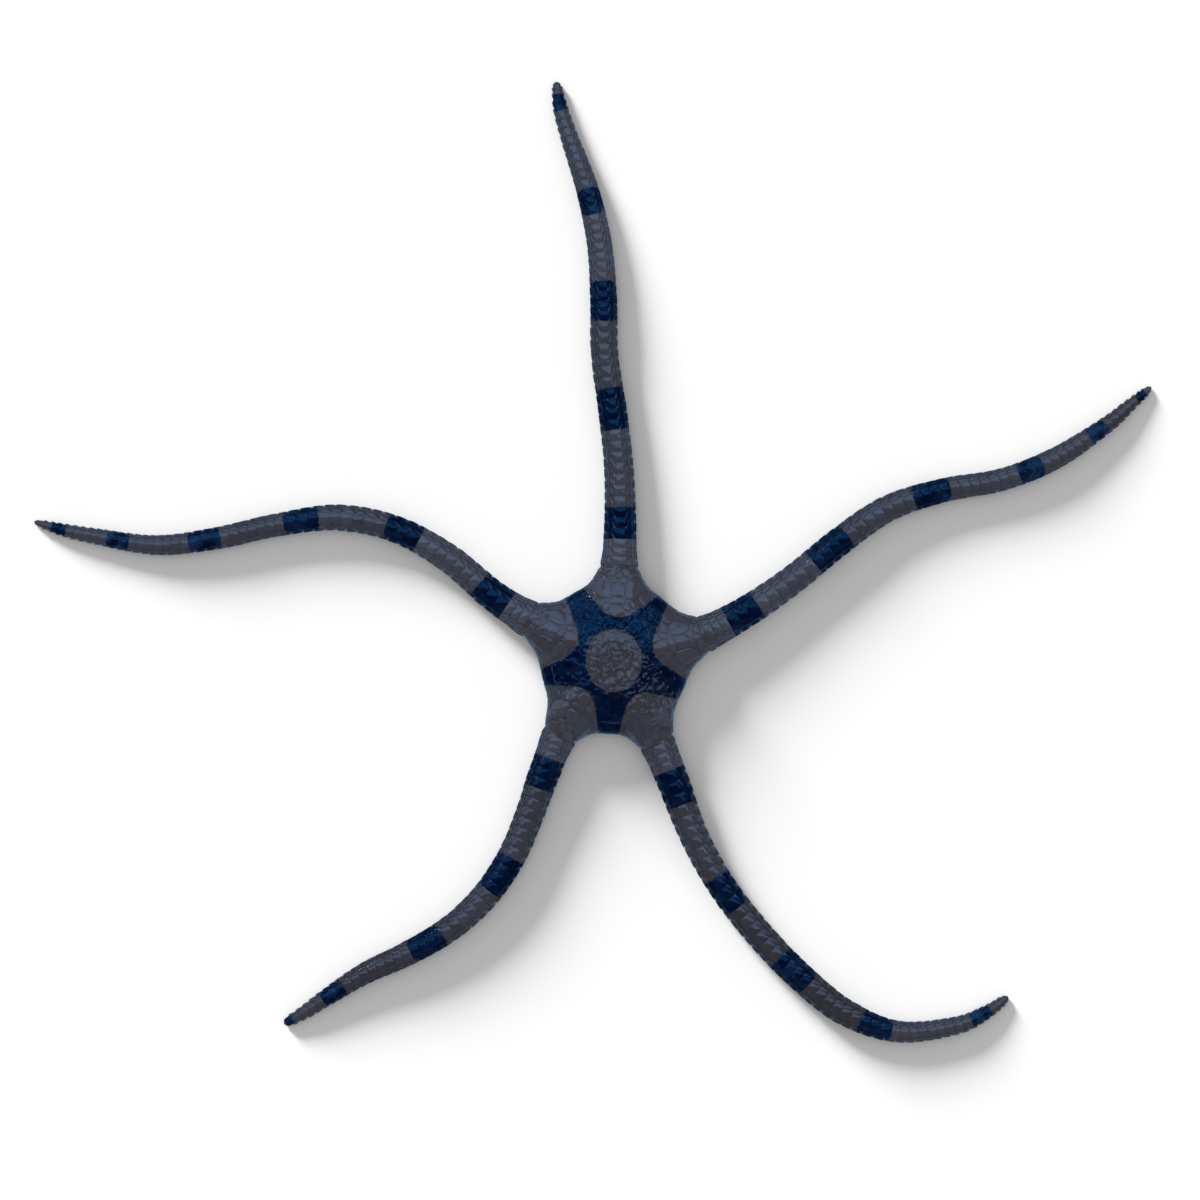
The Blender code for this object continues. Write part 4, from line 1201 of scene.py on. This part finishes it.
def star_material(name, ground, lighter, warmer, darks, roughness, coat_roughness, tint=None):
    """Wet calcite: pale or dark by the markings, under a clear glossy film.

    With a tint, the film is the surface's own shine in that colour.
    """
    made = bpy.data.materials.new(name)
    made.use_nodes = True
    tree = made.node_tree
    nodes, links = tree.nodes, tree.links
    shader = nodes["Principled BSDF"]

    def node(kind, **values):
        new = nodes.new(kind)
        for key, value in values.items():
            setattr(new, key, value)
        return new

    def share(a, b):
        return maths(tree, "MULTIPLY", a, b, clamp=True)

    def mix(a, b, factor):
        new = node("ShaderNodeMix", data_type="RGBA")
        for socket, value in ((6, a), (7, b)):
            if isinstance(value, tuple):
                new.inputs[socket].default_value = (*value, 1.0)
            else:
                links.new(value, new.inputs[socket])
        links.new(factor, new.inputs[0])
        return new.outputs[2]

    def noise(scale, detail, roughness=0.5, swirl=0.0):
        new = node("ShaderNodeTexNoise")
        links.new(coordinates.outputs["Object"], new.inputs["Vector"])
        values = (("Scale", scale), ("Detail", detail), ("Roughness", roughness), ("Distortion", swirl))
        for key, value in values:
            new.inputs[key].default_value = value
        return new.outputs["Fac"]

    def steep(value, low, high, lowest=0.0, highest=1.0):
        new = node("ShaderNodeMapRange")
        links.new(value, new.inputs["Value"])
        bounds = (("From Min", low), ("From Max", high), ("To Min", lowest), ("To Max", highest))
        for key, bound in bounds:
            new.inputs[key].default_value = bound
        return new.outputs["Result"]

    def bump(height, distance, strength=1.0, under=None):
        new = node("ShaderNodeBump")
        new.inputs["Strength"].default_value = strength
        new.inputs["Distance"].default_value = distance
        links.new(height, new.inputs["Height"])
        if under:
            links.new(under, new.inputs["Normal"])
        return new.outputs["Normal"]

    coordinates = node("ShaderNodeTexCoord")
    marks = node("ShaderNodeVertexColor", layer_name="marks")
    split = node("ShaderNodeSeparateColor")
    links.new(marks.outputs["Color"], split.inputs["Color"])
    dark, light, warm = split.outputs

    blotches = steep(noise(420.0, 3.0), 0.40, 0.62)
    speckle = steep(noise(5200.0, 2.0), 0.35, 0.75)
    pale = mix(*ground, blotches)
    pale = mix(pale, lighter, steep(light, 0.5, 1.1))
    # Towards a darker colour where a plate is darker than most, and as painted shade on the skin in the
    # grooves
    pale = mix(pale, DARKER_GROUND_AND_GROOVE_SHADE, steep(light, 0.5, -0.15))
    pale = mix(pale, warmer, share(warm, 0.8))
    pale = mix(pale, SPECKLE, share(speckle, 0.25))
    deep = mix(*darks, share(light, blotches))
    colour = mix(pale, deep, steep(dark, *DARK_EDGE))
    links.new(colour, shader.inputs["Base Color"])

    rough = steep(noise(1500.0, 3.0), 0.2, 0.8)
    rough = steep(rough, 0.0, 1.0, 0.84 * roughness, 1.18 * roughness)
    links.new(rough, shader.inputs["Roughness"])
    shader.inputs["Specular IOR Level"].default_value = 0.5 if tint else 0.06
    shader.inputs["Specular Tint"].default_value = (*(tint or (1.0, 1.0, 1.0)), 1.0)
    shader.inputs["Coat Weight"].default_value = 0.0 if tint else 0.9
    shader.inputs["Coat Roughness"].default_value = coat_roughness
    shader.inputs["Coat IOR"].default_value = 1.5

    swell = bump(share(noise(640.0, 0.2, 0.4, 1.3), marks.outputs["Alpha"]), 0.0010)
    film = bump(noise(820.0, 2.0, 0.45), 0.00014, under=swell)
    grain = bump(noise(9000.0, 2.0), 0.00003, 0.35, film)
    links.new(film if tint else grain, shader.inputs["Normal"])
    links.new(film, shader.inputs["Coat Normal"])
    return made


def make_floor():
    bpy.ops.mesh.primitive_plane_add(size=8.0, location=(0.0, 0.0, 0.0))
    floor = bpy.context.object
    floor.name = "floor"
    made = bpy.data.materials.new("floor")
    made.use_nodes = True
    shader = made.node_tree.nodes["Principled BSDF"]
    shader.inputs["Base Color"].default_value = (FLOOR_GREY, FLOOR_GREY, FLOOR_GREY, 1.0)
    shader.inputs["Roughness"].default_value = 0.9
    shader.inputs["Specular IOR Level"].default_value = 0.1
    floor.data.materials.append(made)
    floor.visible_glossy = False
    return floor


def add_light(name, kind, towards, energy):
    """A light that shines on the animal from the direction given."""
    data = bpy.data.lights.new(name, kind)
    data.energy = energy
    ob = bpy.data.objects.new(name, data)
    ob.rotation_euler = Vector(towards).to_track_quat("Z", "Y").to_euler()
    bpy.context.scene.collection.objects.link(ob)
    return ob


def slant_side(panel):
    """Cuts the panel's right side off along a slant, and brightens its far side and its rim."""
    panel.data.use_nodes = True
    tree = panel.data.node_tree
    nodes, links = tree.nodes, tree.links
    place = nodes.new("ShaderNodeNewGeometry")
    split = nodes.new("ShaderNodeSeparateXYZ")
    links.new(place.outputs["Parametric"], split.inputs["Vector"])
    across, up, _ = split.outputs
    line = maths(tree, "MULTIPLY_ADD", up, SLANT[1], SLANT[0])
    lit = maths(tree, "GREATER_THAN", line, across)
    rise = maths(tree, "MULTIPLY_ADD", up, WINDOW_RISE[1], WINDOW_RISE[0])
    near = maths(tree, "LESS_THAN", up, WINDOW_RIM[0])
    beside = maths(tree, "LESS_THAN", maths(tree, "SUBTRACT", line, across), WINDOW_RIM[1])
    level = maths(tree, "MULTIPLY_ADD", maths(tree, "MAXIMUM", near, beside), WINDOW_RIM[2], rise)
    links.new(maths(tree, "MULTIPLY", lit, level), nodes["Emission"].inputs["Strength"])


def make_lights(floor):
    """Blue window light and a dim glow from below, for the wet film, and a key for the floor."""
    panels = (
        ("window_over", (0.0, 1.115, 1.3), (0, 0, 1), (3.2, 1.97), WINDOW_LEVEL, WINDOW_COLOUR),
        ("window_left", (-2.0, 0.9, 1.0), (-1, 0, 0), (1.1, 2.6), 0.7 * WINDOW_LEVEL, WINDOW_COLOUR),
        ("window_back", (-0.9, 2.2, 1.0), (0, 1, 0), (2.4, 1.1), WINDOW_LEVEL, WINDOW_COLOUR),
        ("glow_below", (0.0, 0.0, -1.0), (0, 0, -1), (8.0, 8.0), GLOW_LEVEL, GLOW_COLOUR),
    )
    for name, middle, towards, size, level, colour in panels:
        panel = add_light(name, "AREA", towards, level * math.pi * size[0] * size[1])
        panel.location = middle
        panel.data.shape = "RECTANGLE"
        panel.data.size, panel.data.size_y = size
        panel.data.color = colour
        panel.visible_diffuse = False
        if name == "window_over":
            slant_side(panel)
    glint = add_light("glint", "SUN", GLINT_TOWARDS, GLINT_LEVEL)
    glint.data.angle = GLINT_SPREAD
    glint.visible_diffuse = False
    key = add_light("key", "SUN", KEY_TOWARDS, KEY_LEVEL)
    key.data.angle = KEY_SPREAD
    key.visible_glossy = False
    lit = bpy.data.collections.new("lit_by_key")
    lit.objects.link(floor)
    key.light_linking.receiver_collection = lit


def make_world():
    """Even, dim surroundings."""
    world = bpy.data.worlds.new("studio")
    bpy.context.scene.world = world
    world.use_nodes = True
    background = world.node_tree.nodes["Background"]
    background.inputs["Color"].default_value = (1.0, 0.995, 0.99, 1.0)
    background.inputs["Strength"].default_value = WORLD_LEVEL
    world.cycles_visibility.glossy = False


def make_camera():
    data = bpy.data.cameras.new("camera")
    data.lens = CAMERA_LENS
    data.sensor_width = SENSOR
    distance = CAMERA_FIELD * CAMERA_LENS / SENSOR + ANIMAL_MIDDLE_HEIGHT
    camera = bpy.data.objects.new("camera", data)
    camera.location = (CAMERA_AIM[0] * MM, CAMERA_AIM[1] * MM, distance * MM)
    bpy.context.scene.collection.objects.link(camera)
    bpy.context.scene.camera = camera


def dress(piece, *materials):
    for material in materials:
        piece.data.materials.append(material)


arms = {name: Arm(**facts) for name, facts in ARMS.items()}
plates = star_material("wet_plates", *WET_COLOURS, 0.42, 0.04)
dark_plates = star_material("dark_plates", *WET_COLOURS, 0.04, 0.04, DARK_FILM)
belly = star_material("belly_plates", *BELLY_COLOURS, 0.45, 0.12)
bone = star_material("jaw_plates", *JAW_COLOURS, 0.40, 0.12)

floor = make_floor()
make_camera()
make_world()
make_lights(floor)

skin = make_skin()
dress(skin, plates)
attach(skin, "root")
arm_nodes = [f"{name}_{length}" for name in ARMS for length in LENGTHS]
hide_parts("disc", *arm_nodes)

disc_cover = cover_disc().mesh_object("disc_plates")
dress(disc_cover, plates, dark_plates)
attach(disc_cover, "root")

underside_cover = cover_underside().mesh_object("underside_plates")
dress(underside_cover, belly, belly)
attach(underside_cover, "root")

jaws = make_jaws().mesh_object("jaws")
dress(jaws, bone)
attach(jaws, "root")
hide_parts(*[f"jaw_{number}" for number in range(1, 6)])

for number, (name, arm) in enumerate(arms.items()):
    cover = cover_arm(number, arm).mesh_object(f"{name}_plates")
    dress(cover, plates, dark_plates)
    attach(cover, "root")

bpy.context.scene.view_settings.view_transform = "Standard"
